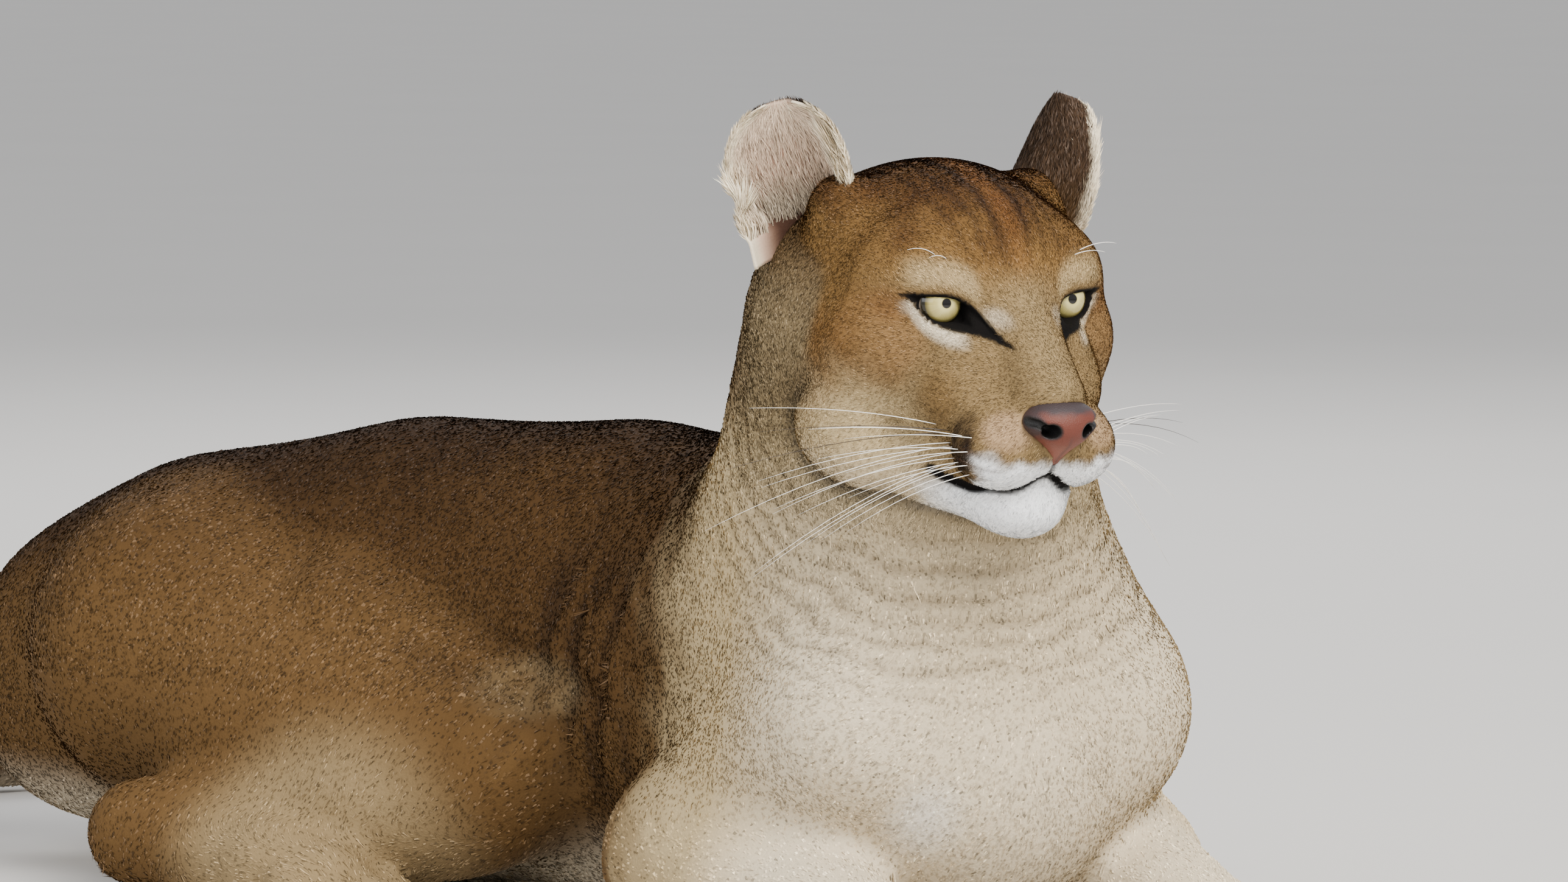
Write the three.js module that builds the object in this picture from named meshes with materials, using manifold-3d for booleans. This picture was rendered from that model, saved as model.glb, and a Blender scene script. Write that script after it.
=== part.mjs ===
// An adult cougar lying down with its head raised, life size, in millimetres, +Z up.
// The origin is on the floor under the middle of the trunk, and +X runs from the rump towards the chest.
// The body is one smooth distance field of balls and limbs, meshed region by region with thin gaps.
import * as THREE from "three";
import { mergeVertices } from "three/addons/utils/BufferGeometryUtils.js";
import Module from "manifold-3d";

const wasm = await Module();
wasm.setup();

// Driving sizes
const GAP = 0.3; // between parts that touch
const EYE_RADIUS = 14;
const EYE_LIFT = 3;
const EAR_LENGTH = 72;
const EAR_HALF_WIDTH = 37;
const EAR_CUP_DEPTH = 25;
const EAR_WALL = 5;
// The right ear faces forward, and the left one is turned out to the side
const RIGHT_EAR = { x: -86, out: 77, lean: 15, turned: 46 };
const LEFT_EAR = { x: -84, out: 75, lean: 22, turned: 90 };
const TAIL_RADIUS = 25;
const RIGHT = -1;
const LEFT = 1;

// The spine on the floor plan: distance behind the breast, x, y and heading in degrees
const SPINE = [
  [-300, 698, -247, -26],
  [0, 428, -116, -26],
  [100, 339, -72, -26],
  [200, 246, -35, -22],
  [300, 149, -9, -15],
  [400, 50, 2, -6],
  [500, -50, -2, 2],
  [600, -149, -17, 9],
  [700, -246, -42, 14],
  [800, -341, -71, 17],
  [950, -485, -115, 17],
];

// Frames and small helpers
const rad = THREE.MathUtils.degToRad;
const lerp = THREE.MathUtils.lerp;
const clamp = THREE.MathUtils.clamp;

function frameAt([x, y, z], heading = 0, pitch = 0, roll = 0) {
  const turn = new THREE.Euler(rad(roll), rad(pitch), rad(heading), "ZYX");
  return new THREE.Matrix4().makeRotationFromEuler(turn).setPosition(x, y, z);
}

function spineAt(s) {
  let i = 1;
  while (i < SPINE.length - 1 && SPINE[i][0] < s) i += 1;
  const [s0, x0, y0, h0] = SPINE[i - 1];
  const [s1, x1, y1, h1] = SPINE[i];
  const t = (s - s0) / (s1 - s0);
  return { x: lerp(x0, x1, t), y: lerp(y0, y1, t), heading: lerp(h0, h1, t) };
}

// A point beside the spine: s behind the breast, side to the left, z above the floor
function beside(s, side, z) {
  const { x, y, heading } = spineAt(s);
  return [x - Math.sin(rad(heading)) * side, y + Math.cos(rad(heading)) * side, z];
}

const headFrame = frameAt([453, -154, 374], -21, 9, 0);
const onHead = (x, y, z) => new THREE.Vector3(x, y, z).applyMatrix4(headFrame).toArray();

// Distance field pieces
function ball(frame, centre, radii, k) {
  const toLocal = frame.clone().multiply(new THREE.Matrix4().makeTranslation(...centre)).invert();
  const e = toLocal.elements;
  const [rx, ry, rz] = radii;
  return {
    k,
    distance(x, y, z) {
      const lx = (e[0] * x + e[4] * y + e[8] * z + e[12]) / rx;
      const ly = (e[1] * x + e[5] * y + e[9] * z + e[13]) / ry;
      const lz = (e[2] * x + e[6] * y + e[10] * z + e[14]) / rz;
      const near = Math.hypot(lx, ly, lz);
      return (near * (near - 1)) / Math.max(Math.hypot(lx / rx, ly / ry, lz / rz), 1e-9);
    },
  };
}

function limb(a, b, ra, rb, k) {
  const [ux, uy, uz] = [b[0] - a[0], b[1] - a[1], b[2] - a[2]];
  const length2 = ux * ux + uy * uy + uz * uz;
  return {
    k,
    distance(x, y, z) {
      const [px, py, pz] = [x - a[0], y - a[1], z - a[2]];
      const t = clamp((px * ux + py * uy + pz * uz) / length2, 0, 1);
      return Math.hypot(px - t * ux, py - t * uy, pz - t * uz) - lerp(ra, rb, t);
    },
  };
}

const trunkBall = (s, side, z, radii, k) => {
  const { heading } = spineAt(s);
  return ball(frameAt(beside(s, side, z), heading), [0, 0, 0], radii, k);
};

function blend(a, b, k) {
  const h = Math.max(k - Math.abs(a - b), 0) / k;
  return Math.min(a, b) - (h * h * k) / 4;
}

function fieldOf(pieces) {
  return (x, y, z) => {
    let d = 1e6;
    for (const piece of pieces) {
      d = blend(d, piece.distance(x, y, z), piece.k);
    }
    return d;
  };
}

// Trunk, with the shoulders and the rump
function trunkPieces() {
  const pieces = [
    trunkBall(105, 0, 150, [108, 106, 128], 30),
    trunkBall(240, 0, 148, [150, 122, 143], 40),
    trunkBall(400, 0, 141, [170, 122, 144], 50),
    trunkBall(550, 0, 138, [160, 116, 141], 50),
    trunkBall(690, 0, 131, [140, 104, 122], 50),
    trunkBall(790, 0, 112, [88, 78, 92], 40),
    limb(beside(60, 0, 120), beside(230, 0, 90), 92, 88, 30),
  ];
  for (const side of [RIGHT, LEFT]) {
    pieces.push(
      limb(beside(45, side * 66, 148), beside(185, side * 40, 246), 50, 42, 30),
      limb(beside(45, side * 68, 146), beside(180, side * 98, 72), 54, 50, 26),
    );
  }
  return pieces;
}

const neckPieces = [
  limb(beside(150, 0, 190), onHead(-92, 0, -36), 118, 95, 40),
  limb(beside(80, 0, 180), onHead(-48, 0, -62), 104, 60, 30),
];

// Foreleg laid forward on the floor
function forelegPieces(side) {
  const elbow = beside(188, side * 108, 55);
  const wrist = beside(-62, side * 92, 35);
  const mid = beside(90, side * 104, 50);
  return [
    limb(elbow, mid, 50, 48, 20),
    limb(mid, wrist, 47, 32, 20),
    ...pawPieces(beside(-62, side * 92, 35), spineAt(-62).heading - side * 2, 1),
  ];
}

// Paw with four toes, from its wrist or instep forward
function pawPieces(root, heading, size) {
  const at = frameAt([root[0], root[1], 0], heading);
  const put = (x, y, z) => new THREE.Vector3(x * size, y * size, z * size).applyMatrix4(at).toArray();
  const pieces = [limb(put(0, 0, 33), put(44, 0, 27), 31 * size, 30 * size, 16)];
  for (const [y, reach] of [[-33, 70], [-12, 84], [12, 86], [34, 72]]) {
    pieces.push(limb(put(38, y * 0.7, 30), put(reach - 8, y, 20), 17 * size, 16.5 * size, 5));
    pieces.push(limb(put(reach - 4, y, 17), put(reach + 9, y, 13.5), 15.5 * size, 12.5 * size, 5));
  }
  return pieces;
}

// Hind leg folded beside the rump: thigh, shank and foot
function hindlegPieces(side) {
  const hip = beside(690, side * 62, 138);
  const knee = beside(385, side * 116, 86);
  const hock = beside(650, side * 168, 42);
  const calf = beside(470, side * 138, 66);
  const instep = beside(505, side * 196, 32);
  return [
    limb(hip, knee, 98, 46, 40),
    limb(beside(600, side * 84, 92), beside(430, side * 112, 78), 80, 54, 30),
    limb(beside(540, side * 108, 176), beside(372, side * 110, 118), 26, 24, 22),
    limb(knee, calf, 43, 48, 16),
    limb(calf, hock, 47, 31, 16),
    limb(hock, instep, 31, 27, 14),
    ...pawPieces(instep, spineAt(505).heading + side * 6, 0.94),
  ];
}

const tailLine = new THREE.CatmullRomCurve3(
  [
    [-360, -78, 118],
    [-430, -100, 70],
    [-500, -104, 34],
    [-568, -70, 25],
    [-600, 10, 25],
    [-578, 100, 25],
    [-510, 176, 25],
    [-420, 220, 25],
    [-325, 238, 25],
    [-235, 236, 24],
  ].map((point) => new THREE.Vector3(...point)),
);

function tailPieces() {
  const points = tailLine.getSpacedPoints(22).map((point) => point.toArray());
  const radius = (i) => TAIL_RADIUS + 11 * Math.exp(-i / 2.2) - 0.12 * i;
  return points.slice(1).map((point, i) => limb(points[i], point, radius(i), radius(i + 1), 6));
}

// Head, in its own frame: +X out of the nose and the origin between the eyes
function headPieces() {
  const skull = (centre, radii, k) => ball(headFrame, centre, radii, k);
  const bar = (a, b, ra, rb, k) => limb(onHead(...a), onHead(...b), ra, rb, k);
  const pieces = [
    skull([-62, 0, 6], [80, 70, 62], 20),
    skull([-20, 0, 14], [40, 44, 34], 24),
    bar([4, 0, 3], [63, 0, -33], 25, 18, 16),
    skull([38, 0, -54], [42, 32, 30], 14),
    bar([36, 0, -93], [-40, 0, -80], 19, 38, 16),
    skull([42, 0, -97], [23, 23, 18], 12),
  ];
  for (const side of [RIGHT, LEFT]) {
    pieces.push(
      skull([-7, side * 33, 19], [20, 20, 13], 12),
      skull([-34, side * 53, -24], [40, 32, 36], 18),
      skull([-30, side * 45, 14], [34, 26, 24], 18),
      skull([-52, side * 48, -68], [46, 41, 46], 20),
      skull([6, side * 30, -40], [38, 26, 30], 18),
      skull([14, side * 26, -17], [22, 16, 15], 12),
      skull([49, side * 20, -63], [27, 26, 24], 9),
      skull([-1, side * 37, EYE_LIFT], [17, 17, 16], 5),
      bar([28, side * 14, -90], [-30, side * 38, -84], 18, 28, 14),
      skull([-76, side * 56, 34], [26, 22, 26], 18),
    );
  }
  return pieces;
}

const trunk = fieldOf(trunkPieces());
const neck = fieldOf(neckPieces);
const head = fieldOf(headPieces());
const tail = fieldOf(tailPieces());
const legs = [RIGHT, LEFT].flatMap((side) => [
  { field: fieldOf(forelegPieces(side)), k: 22 },
  { field: fieldOf(hindlegPieces(side)), k: 24 },
]);

function body(x, y, z) {
  let d = blend(trunk(x, y, z), neck(x, y, z), 46);
  d = blend(d, head(x, y, z), 12);
  d = blend(d, tail(x, y, z), 26);
  for (const leg of legs) {
    d = blend(d, leg.field(x, y, z), leg.k);
  }
  return d;
}

// Solids from three.js geometry
function solidOf(geometry) {
  let plain = geometry.clone();
  plain.deleteAttribute("normal");
  plain.deleteAttribute("uv");
  plain = mergeVertices(plain, 1e-4);
  const mesh = new wasm.Mesh({
    numProp: 3,
    vertProperties: new Float32Array(plain.attributes.position.array),
    triVerts: new Uint32Array(plain.index.array),
  });
  return new wasm.Manifold(mesh);
}

function geometryOf(solid) {
  const mesh = solid.getMesh();
  const geometry = new THREE.BufferGeometry();
  geometry.setAttribute("position", new THREE.BufferAttribute(Float32Array.from(mesh.vertProperties), 3));
  geometry.setIndex(new THREE.BufferAttribute(Uint32Array.from(mesh.triVerts), 1));
  return geometry;
}

function largest(solid) {
  const pieces = solid.decompose();
  return pieces.reduce((best, piece) => (piece.volume() > best.volume() ? piece : best));
}

function block(frame, low, high) {
  const size = high.map((value, i) => value - low[i]);
  const middle = high.map((value, i) => (value + low[i]) / 2);
  const geometry = new THREE.BoxGeometry(...size);
  geometry.translate(...middle);
  return solidOf(geometry.applyMatrix4(frame));
}

const join = (solids) => solids.reduce((sum, solid) => sum.add(solid));

// Surface nets: one point in every cell the surface crosses, drawn onto the surface
function meshField(field, low, high, cell) {
  const count = low.map((value, i) => Math.ceil((high[i] - value) / cell) + 1);
  const [nx, ny, nz] = count;
  const values = new Float64Array(nx * ny * nz);
  const id = (i, j, k) => (k * ny + j) * nx + i;
  for (let k = 0; k < nz; k += 1) {
    for (let j = 0; j < ny; j += 1) {
      for (let i = 0; i < nx; i += 1) {
        const edge = i === 0 || j === 0 || k === 0 || i === nx - 1 || j === ny - 1 || k === nz - 1;
        const d = field(low[0] + i * cell, low[1] + j * cell, low[2] + k * cell);
        values[id(i, j, k)] = edge ? Math.max(d, 0.2 * cell) : d;
      }
    }
  }
  const points = [];
  const pointOf = new Map();
  for (let k = 0; k < nz - 1; k += 1) {
    for (let j = 0; j < ny - 1; j += 1) {
      for (let i = 0; i < nx - 1; i += 1) {
        const inner = i > 0 && j > 0 && k > 0 && i < nx - 2 && j < ny - 2 && k < nz - 2;
        for (const { corners, point } of crossingPoints(values, id, i, j, k)) {
          for (const corner of corners) {
            pointOf.set(id(i, j, k) * 8 + corner, points.length / 3);
          }
          const place = point.map((value, axis) => low[axis] + value * cell);
          points.push(...(inner ? drawOnto(field, place, cell) : place));
        }
      }
    }
  }
  return { points, triangles: netTriangles(values, id, pointOf, count, points) };
}

// One point for every group of joined inside corners of a cell
function crossingPoints(values, id, i, j, k) {
  const value = (n) => values[id(i + (n & 1), j + ((n >> 1) & 1), k + (n >> 2))];
  const free = new Set([0, 1, 2, 3, 4, 5, 6, 7].filter((n) => value(n) < 0));
  if (free.size === 0 || free.size === 8) return [];
  const groups = [];
  while (free.size > 0) {
    const corners = [free.values().next().value];
    free.delete(corners[0]);
    const sum = [0, 0, 0];
    let crossings = 0;
    for (let n = 0; n < corners.length; n += 1) {
      const corner = corners[n];
      for (const bit of [1, 2, 4]) {
        const other = corner ^ bit;
        if (free.delete(other)) corners.push(other);
        if (value(other) < 0) continue;
        const t = value(corner) / (value(corner) - value(other));
        [1, 2, 4].forEach((axisBit, axis) => {
          const from = corner & axisBit ? 1 : 0;
          const to = other & axisBit ? 1 : 0;
          sum[axis] += from + t * (to - from);
        });
        crossings += 1;
      }
    }
    if (crossings > 0) {
      groups.push({ corners, point: [i + sum[0] / crossings, j + sum[1] / crossings, k + sum[2] / crossings] });
    }
  }
  return groups;
}

function drawOnto(field, start, cell) {
  const point = [...start];
  const step = 0.5;
  for (let turn = 0; turn < 3; turn += 1) {
    const d = field(...point);
    const gradient = [0, 1, 2].map((axis) => {
      const ahead = [...point];
      ahead[axis] += step;
      return (field(...ahead) - d) / step;
    });
    const length2 = gradient.reduce((sum, value) => sum + value * value, 1e-6);
    const move = clamp(d / length2, -0.35 * cell, 0.35 * cell);
    gradient.forEach((value, axis) => {
      point[axis] -= move * value;
    });
  }
  return point;
}

function netTriangles(values, id, pointOf, count, points) {
  const triangles = [];
  const [nx, ny, nz] = count;
  const spread = (a, b) => Math.hypot(...[0, 1, 2].map((n) => points[3 * a + n] - points[3 * b + n]));
  for (let k = 0; k < nz - 1; k += 1) {
    for (let j = 0; j < ny - 1; j += 1) {
      for (let i = 0; i < nx - 1; i += 1) {
        const here = values[id(i, j, k)] < 0;
        const around = [
          [[i + 1, j, k], [[i, j - 1, k - 1], [i, j, k - 1], [i, j, k], [i, j - 1, k]]],
          [[i, j + 1, k], [[i - 1, j, k - 1], [i - 1, j, k], [i, j, k], [i, j, k - 1]]],
          [[i, j, k + 1], [[i - 1, j - 1, k], [i, j - 1, k], [i, j, k], [i - 1, j, k]]],
        ];
        for (const [end, cells] of around) {
          if (Math.min(...cells[0]) < 0 || here === values[id(...end)] < 0) continue;
          const inside = here ? [i, j, k] : end;
          const ring = cells.map((c) => {
            const corner = inside[0] - c[0] + 2 * (inside[1] - c[1]) + 4 * (inside[2] - c[2]);
            return pointOf.get(id(...c) * 8 + corner);
          });
          if (!here) ring.reverse();
          const [a, b, c, d] = ring;
          if (spread(a, c) < spread(b, d)) triangles.push(a, b, c, a, c, d);
          else triangles.push(a, b, d, b, c, d);
        }
      }
    }
  }
  return triangles;
}

function solidOfField(field, low, high, cell) {
  const { points, triangles } = meshField(field, low, high, cell);
  const geometry = new THREE.BufferGeometry();
  geometry.setAttribute("position", new THREE.Float32BufferAttribute(points, 3));
  geometry.setIndex(triangles);
  return solidOf(geometry);
}

// Thin tube along a line, closed at both ends
function tubeAlong(points, radius, sides = 6) {
  const positions = [];
  const triangles = [];
  points.forEach((point, i) => {
    const before = points[Math.max(i - 1, 0)];
    const after = points[Math.min(i + 1, points.length - 1)];
    const along = after.clone().sub(before).normalize();
    const across = new THREE.Vector3(0, 0, 1).cross(along);
    if (across.length() < 0.3) across.set(1, 0, 0).cross(along);
    across.normalize();
    const up = along.clone().cross(across);
    for (let n = 0; n < sides; n += 1) {
      const angle = (2 * Math.PI * n) / sides;
      const ring = point.clone();
      ring.addScaledVector(across, radius * Math.cos(angle)).addScaledVector(up, radius * Math.sin(angle));
      positions.push(...ring.toArray());
    }
  });
  for (let i = 0; i < points.length - 1; i += 1) {
    for (let n = 0; n < sides; n += 1) {
      const [a, b] = [i * sides + n, i * sides + ((n + 1) % sides)];
      triangles.push(a, b, b + sides, a, b + sides, a + sides);
    }
  }
  const last = (points.length - 1) * sides;
  for (let n = 1; n < sides - 1; n += 1) {
    triangles.push(0, n + 1, n, last, last + n, last + n + 1);
  }
  const geometry = new THREE.BufferGeometry();
  geometry.setAttribute("position", new THREE.Float32BufferAttribute(positions, 3));
  geometry.setIndex(triangles);
  return solidOf(geometry);
}

function ellipsoid(frame, centre, radii, around = 20, rows = 12) {
  const geometry = new THREE.SphereGeometry(1, around, rows);
  geometry.scale(...radii);
  geometry.translate(...centre);
  return solidOf(geometry.applyMatrix4(frame));
}

// The same solid with every point moved out by a distance
function grown(solid, distance) {
  const geometry = geometryOf(solid);
  geometry.computeVertexNormals();
  const { position, normal } = geometry.attributes;
  for (let i = 0; i < position.count; i += 1) {
    const point = new THREE.Vector3().fromBufferAttribute(position, i);
    const out = new THREE.Vector3().fromBufferAttribute(normal, i);
    position.setXYZ(i, ...point.addScaledVector(out, distance).toArray());
  }
  return solidOf(geometry);
}

// Regions of the parts, as half spaces and blocks
const FAR = 900;
const world = frameAt([0, 0, 0]);
const floorUp = block(world, [-FAR, -FAR, 0], [FAR, FAR, FAR]);
const ahead = (frame, back = 0) => block(frame, [-back, -FAR, -FAR], [FAR, FAR, FAR]);

const throatPlane = frameAt(onHead(-75, 0, -118), -21, -13);
const headRegion = (grow = 0) => {
  return ahead(throatPlane, grow).intersect(block(headFrame, [-FAR, -FAR, -128 - grow], [FAR, FAR, FAR]));
};
const neckPlane = frameAt([322, -78, 250], -39, -57);
const waistPlane = frameAt([-60, 0, 0]);
const tailPlane = frameAt([-418, -97, 80], 195);

function legBlock(s, [x0, x1], [side0, side1], top) {
  return (side, grow = 0) => {
    const { heading } = spineAt(s);
    const [low, high] = side === LEFT ? [side0, side1] : [-side1, -side0];
    const frame = frameAt(beside(s, 0, 0), heading);
    return block(frame, [x0 - grow, low - grow, -FAR], [x1 + grow, high + grow, top + grow]);
  };
}

const forelegRegion = legBlock(90, [-165, 150], [72, 260], 92);
const forepawRegion = legBlock(90, [150, 330], [3, 260], 80);
const thighRegion = legBlock(540, [-215, 250], [86, 400], 176);
const shankRegion = legBlock(540, [-215, 250], [124, 400], 66);
const hindpawRegion = legBlock(540, [28, 260], [158, 400], 62);
const tailBase = (grow = 0) => block(world, [-FAR, -FAR, -FAR], [-FAR / 3, -20 + grow, FAR]);
const tailMiddle = (grow = 0) => block(world, [-FAR, -20 - grow, -FAR], [-440 + grow, FAR, 60]);
const tailTip = (grow = 0) => block(world, [-440 - grow, 197 - grow, -FAR], [-190 + grow, 320, 70 + grow]);

function cut(cell, low, high, region, without) {
  const margin = 2 * cell;
  const solid = solidOfField(
    body,
    low.map((value) => value - margin),
    high.map((value) => value + margin),
    cell,
  );
  let part = solid.intersect(region).intersect(floorUp);
  for (const other of without) {
    part = part.subtract(other);
  }
  return largest(part);
}

// Colours taken from the photo
const COAT = { color: 0x9a7350, roughness: 0.9, metalness: 0 };
const THROAT = { color: 0xc2a27e, roughness: 0.9, metalness: 0 };
const EAR_COAT = { color: 0x6f5a49, roughness: 0.9, metalness: 0 };
const NOSE_SKIN = { color: 0x9c6252, roughness: 0.55, metalness: 0 };
const IRIS = { color: 0xa89a5c, roughness: 0.15, metalness: 0 };

// Eyes, set a little outwards, with the opening between the lids
function eyeFrame(side) {
  const turn = frameAt([0, 0, 0], side * 12);
  return headFrame.clone().multiply(new THREE.Matrix4().makeTranslation(-1, side * 37, EYE_LIFT)).multiply(turn);
}

function lidOpening(side) {
  const shape = new THREE.Shape();
  shape.moveTo(-side * 22, -10.5);
  shape.bezierCurveTo(-side * 14, -1, -side * 5, 6.5, side * 3, 7.5);
  shape.bezierCurveTo(side * 9, 8, side * 13, 7, side * 17, 5.5);
  shape.bezierCurveTo(side * 12, -3, side * 4, -8.5, -side * 5, -9);
  shape.bezierCurveTo(-side * 11, -9.5, -side * 16, -9.5, -side * 22, -10.5);
  const geometry = new THREE.ExtrudeGeometry(shape, { depth: 40, bevelEnabled: false, curveSegments: 5 });
  const turn = new THREE.Matrix4().makeBasis(
    new THREE.Vector3(0, 1, 0),
    new THREE.Vector3(0, 0, 1),
    new THREE.Vector3(1, 0, 0),
  );
  geometry.applyMatrix4(turn);
  geometry.translate(8, 0, 0);
  return solidOf(geometry.applyMatrix4(eyeFrame(side)));
}

// Nose leather and its nostrils
function nosePad() {
  const field = fieldOf([
    ball(headFrame, [75, 0, -44], [15, 21, 11.5], 6),
    limb(onHead(76, 0, -50), onHead(70, 0, -64), 11, 5, 8),
  ]);
  const [x, y, z] = onHead(74, 0, -47);
  return solidOfField(field, [x - 34, y - 34, z - 30], [x + 34, y + 34, z + 30], 4.6);
}

function nostril(side) {
  const hole = ellipsoid(headFrame, [85, side * 10.5, -47], [9, 5, 4.2], 12, 8);
  const slit = [
    [85, 11, -46],
    [82, 17, -43],
    [76, 22.5, -42],
  ];
  return hole.add(tubeAlong(slit.map(([x, y, z]) => new THREE.Vector3(...onHead(x, side * y, z))), 2.2));
}

// The line of the mouth, laid on the surface of the muzzle
const LIP_LINE = [
  [17, 46, -82],
  [28, 40, -86.5],
  [39, 32, -88],
  [51, 25, -85.5],
  [60, 12, -81],
  [66, 0, -75],
];

function onSkin([x, y, z]) {
  let point = onHead(x, y, z);
  for (let turn = 0; turn < 6; turn += 1) {
    point = drawOnto(body, point, 12);
  }
  return new THREE.Vector3(...point);
}

function mouthGroove() {
  const right = LIP_LINE.slice(0, -1).reverse().map(([x, y, z]) => [x, -y, z]);
  const curve = new THREE.CatmullRomCurve3([...LIP_LINE, ...right].map(onSkin));
  const lips = tubeAlong(curve.getSpacedPoints(26), 2.3);
  const philtrum = tubeAlong([onSkin([72, 0, -63]), onSkin([70, 0, -69]), onSkin([66, 0, -75])], 1.8);
  return lips.add(philtrum);
}

// A cupped ear, open towards its own +X
function earShape(side) {
  const stance = side === RIGHT ? RIGHT_EAR : LEFT_EAR;
  const rows = 9;
  const columns = 10;
  const positions = [];
  const width = (v) => {
    const low = 0.74 + 0.26 * Math.sin((Math.PI / 2) * clamp(v / 0.38, 0, 1));
    return EAR_HALF_WIDTH * (v < 0.38 ? low : Math.sqrt(1 - ((v - 0.38) / 0.62) ** 2.6));
  };
  const point = (u, v, inner) => {
    const up = Math.max(v, 0);
    const angle = u * lerp(1.75, 1.25, up);
    const wall = inner ? EAR_WALL * (1.15 - 0.6 * up) * (1 - 0.55 * u * u) : 0;
    const depth = EAR_CUP_DEPTH * (1.3 - 0.7 * up) - wall;
    const half = width(v) - wall * 0.8;
    return [
      -10 * up ** 2 - depth * Math.cos(angle),
      half * Math.sin(angle),
      v * EAR_LENGTH - wall * up * 0.8,
    ];
  };
  for (const inner of [false, true]) {
    for (let j = 0; j <= rows; j += 1) {
      for (let i = 0; i <= columns; i += 1) {
        positions.push(...point((2 * i) / columns - 1, lerp(-0.22, 0.985, j / rows), inner));
      }
    }
  }
  const triangles = [];
  const at = (i, j, layer) => layer * (rows + 1) * (columns + 1) + j * (columns + 1) + i;
  const quad = (a, b, c, d) => triangles.push(a, b, c, a, c, d);
  for (let j = 0; j < rows; j += 1) {
    for (let i = 0; i < columns; i += 1) {
      quad(at(i, j, 0), at(i, j + 1, 0), at(i + 1, j + 1, 0), at(i + 1, j, 0));
      quad(at(i, j, 1), at(i + 1, j, 1), at(i + 1, j + 1, 1), at(i, j + 1, 1));
    }
    quad(at(0, j, 0), at(0, j, 1), at(0, j + 1, 1), at(0, j + 1, 0));
    quad(at(columns, j, 0), at(columns, j + 1, 0), at(columns, j + 1, 1), at(columns, j, 1));
  }
  for (let i = 0; i < columns; i += 1) {
    quad(at(i, 0, 0), at(i + 1, 0, 0), at(i + 1, 0, 1), at(i, 0, 1));
    quad(at(i, rows, 0), at(i, rows, 1), at(i + 1, rows, 1), at(i + 1, rows, 0));
  }
  const geometry = new THREE.BufferGeometry();
  geometry.setAttribute("position", new THREE.Float32BufferAttribute(positions, 3));
  geometry.setIndex(triangles);
  const stand = headFrame
    .clone()
    .multiply(frameAt([stance.x, side * stance.out, 22]))
    .multiply(frameAt([0, 0, 0], 0, -7, -side * stance.lean))
    .multiply(frameAt([0, 0, 0], side * stance.turned));
  return solidOf(geometry.applyMatrix4(stand));
}

// The whole animal
const parts = new THREE.Group();

function add(name, solid, look) {
  const mesh = new THREE.Mesh(geometryOf(solid), new THREE.MeshStandardMaterial(look));
  mesh.name = name;
  parts.add(mesh);
}

const sides = [
  ["right", RIGHT],
  ["left", LEFT],
];
const eyeBall = (side, more) => ellipsoid(eyeFrame(side), [0, 0, 0], Array(3).fill(EYE_RADIUS + more), 18, 12);
const nose = nosePad();
const nostrils = join([nostril(RIGHT), nostril(LEFT)]);
const headPart = cut(11.5, [280, -300, 240], [580, -10, 480], headRegion(), [
  grown(nose, GAP),
  nostrils,
  mouthGroove(),
  ...[RIGHT, LEFT].flatMap((side) => [eyeBall(side, GAP + 0.25), lidOpening(side)]),
]);
add("head", headPart, COAT);
add("nose", largest(nose.subtract(nostrils)), NOSE_SKIN);

const headShell = grown(headPart, GAP).add(block(throatPlane, [-250, -FAR, -FAR], [GAP, FAR, FAR]));
for (const [word, side] of sides) {
  add(`eye_${word}`, eyeBall(side, 0), IRIS);
  add(`ear_${word}`, largest(earShape(side).subtract(headShell)), EAR_COAT);
}

add("neck", cut(22, [200, -270, 150], [500, 60, 460], ahead(neckPlane), [headRegion(GAP)]), THROAT);

const limbRegions = [RIGHT, LEFT].flatMap((side) => [
  forelegRegion(side, GAP),
  forepawRegion(side, GAP),
  thighRegion(side, GAP),
]);
const neckAhead = ahead(neckPlane, GAP);
const behind = block(waistPlane, [-FAR, -FAR, -FAR], [-GAP, FAR, FAR]);
const chest = cut(30, [-60, -260, 0], [460, 200, 330], ahead(waistPlane), [...limbRegions, neckAhead]);
add("chest", chest, COAT);
const rump = cut(30, [-460, -260, 0], [-60, 200, 300], behind, [
  ...limbRegions,
  ahead(tailPlane, GAP),
  tailMiddle(GAP),
  tailTip(GAP),
]);
add("hindquarters", rump, COAT);

// A limb part fills its own region; the mesh grid covers the region near the body
function addLimb(name, cell, region, without) {
  const { min, max } = region.boundingBox();
  const low = [Math.max(min[0], -460), Math.max(min[1], -330), 0];
  const high = [Math.min(max[0], 660), Math.min(max[1], 330), Math.min(max[2], 200)];
  add(name, cut(cell, low, high, region, without), COAT);
}

for (const [word, side] of sides) {
  addLimb(`foreleg_${word}`, 20, forelegRegion(side), [neckAhead]);
  addLimb(`forepaw_${word}`, 14, forepawRegion(side), [forelegRegion(side, GAP), neckAhead]);
  addLimb(`thigh_${word}`, 25, thighRegion(side), [shankRegion(side, GAP), forelegRegion(side, GAP)]);
  addLimb(`shank_${word}`, 19, shankRegion(side), [
    hindpawRegion(side, GAP),
    forelegRegion(side, GAP),
    tailTip(GAP),
  ]);
  addLimb(`hindpaw_${word}`, 14, hindpawRegion(side), [forelegRegion(side, GAP)]);
}

const tailStart = tailBase().intersect(ahead(tailPlane));
add("tail_base", cut(19, [-650, -150, 0], [-400, 0, 130], tailStart, []), COAT);
add("tail_middle", cut(19, [-650, -40, 0], [-430, 290, 60], tailMiddle(), [tailBase(GAP)]), COAT);
add("tail_tip", cut(19, [-460, 170, 0], [-180, 290, 60], tailTip(), [tailMiddle(GAP)]), COAT);

export default parts;
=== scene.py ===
import math

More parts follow.
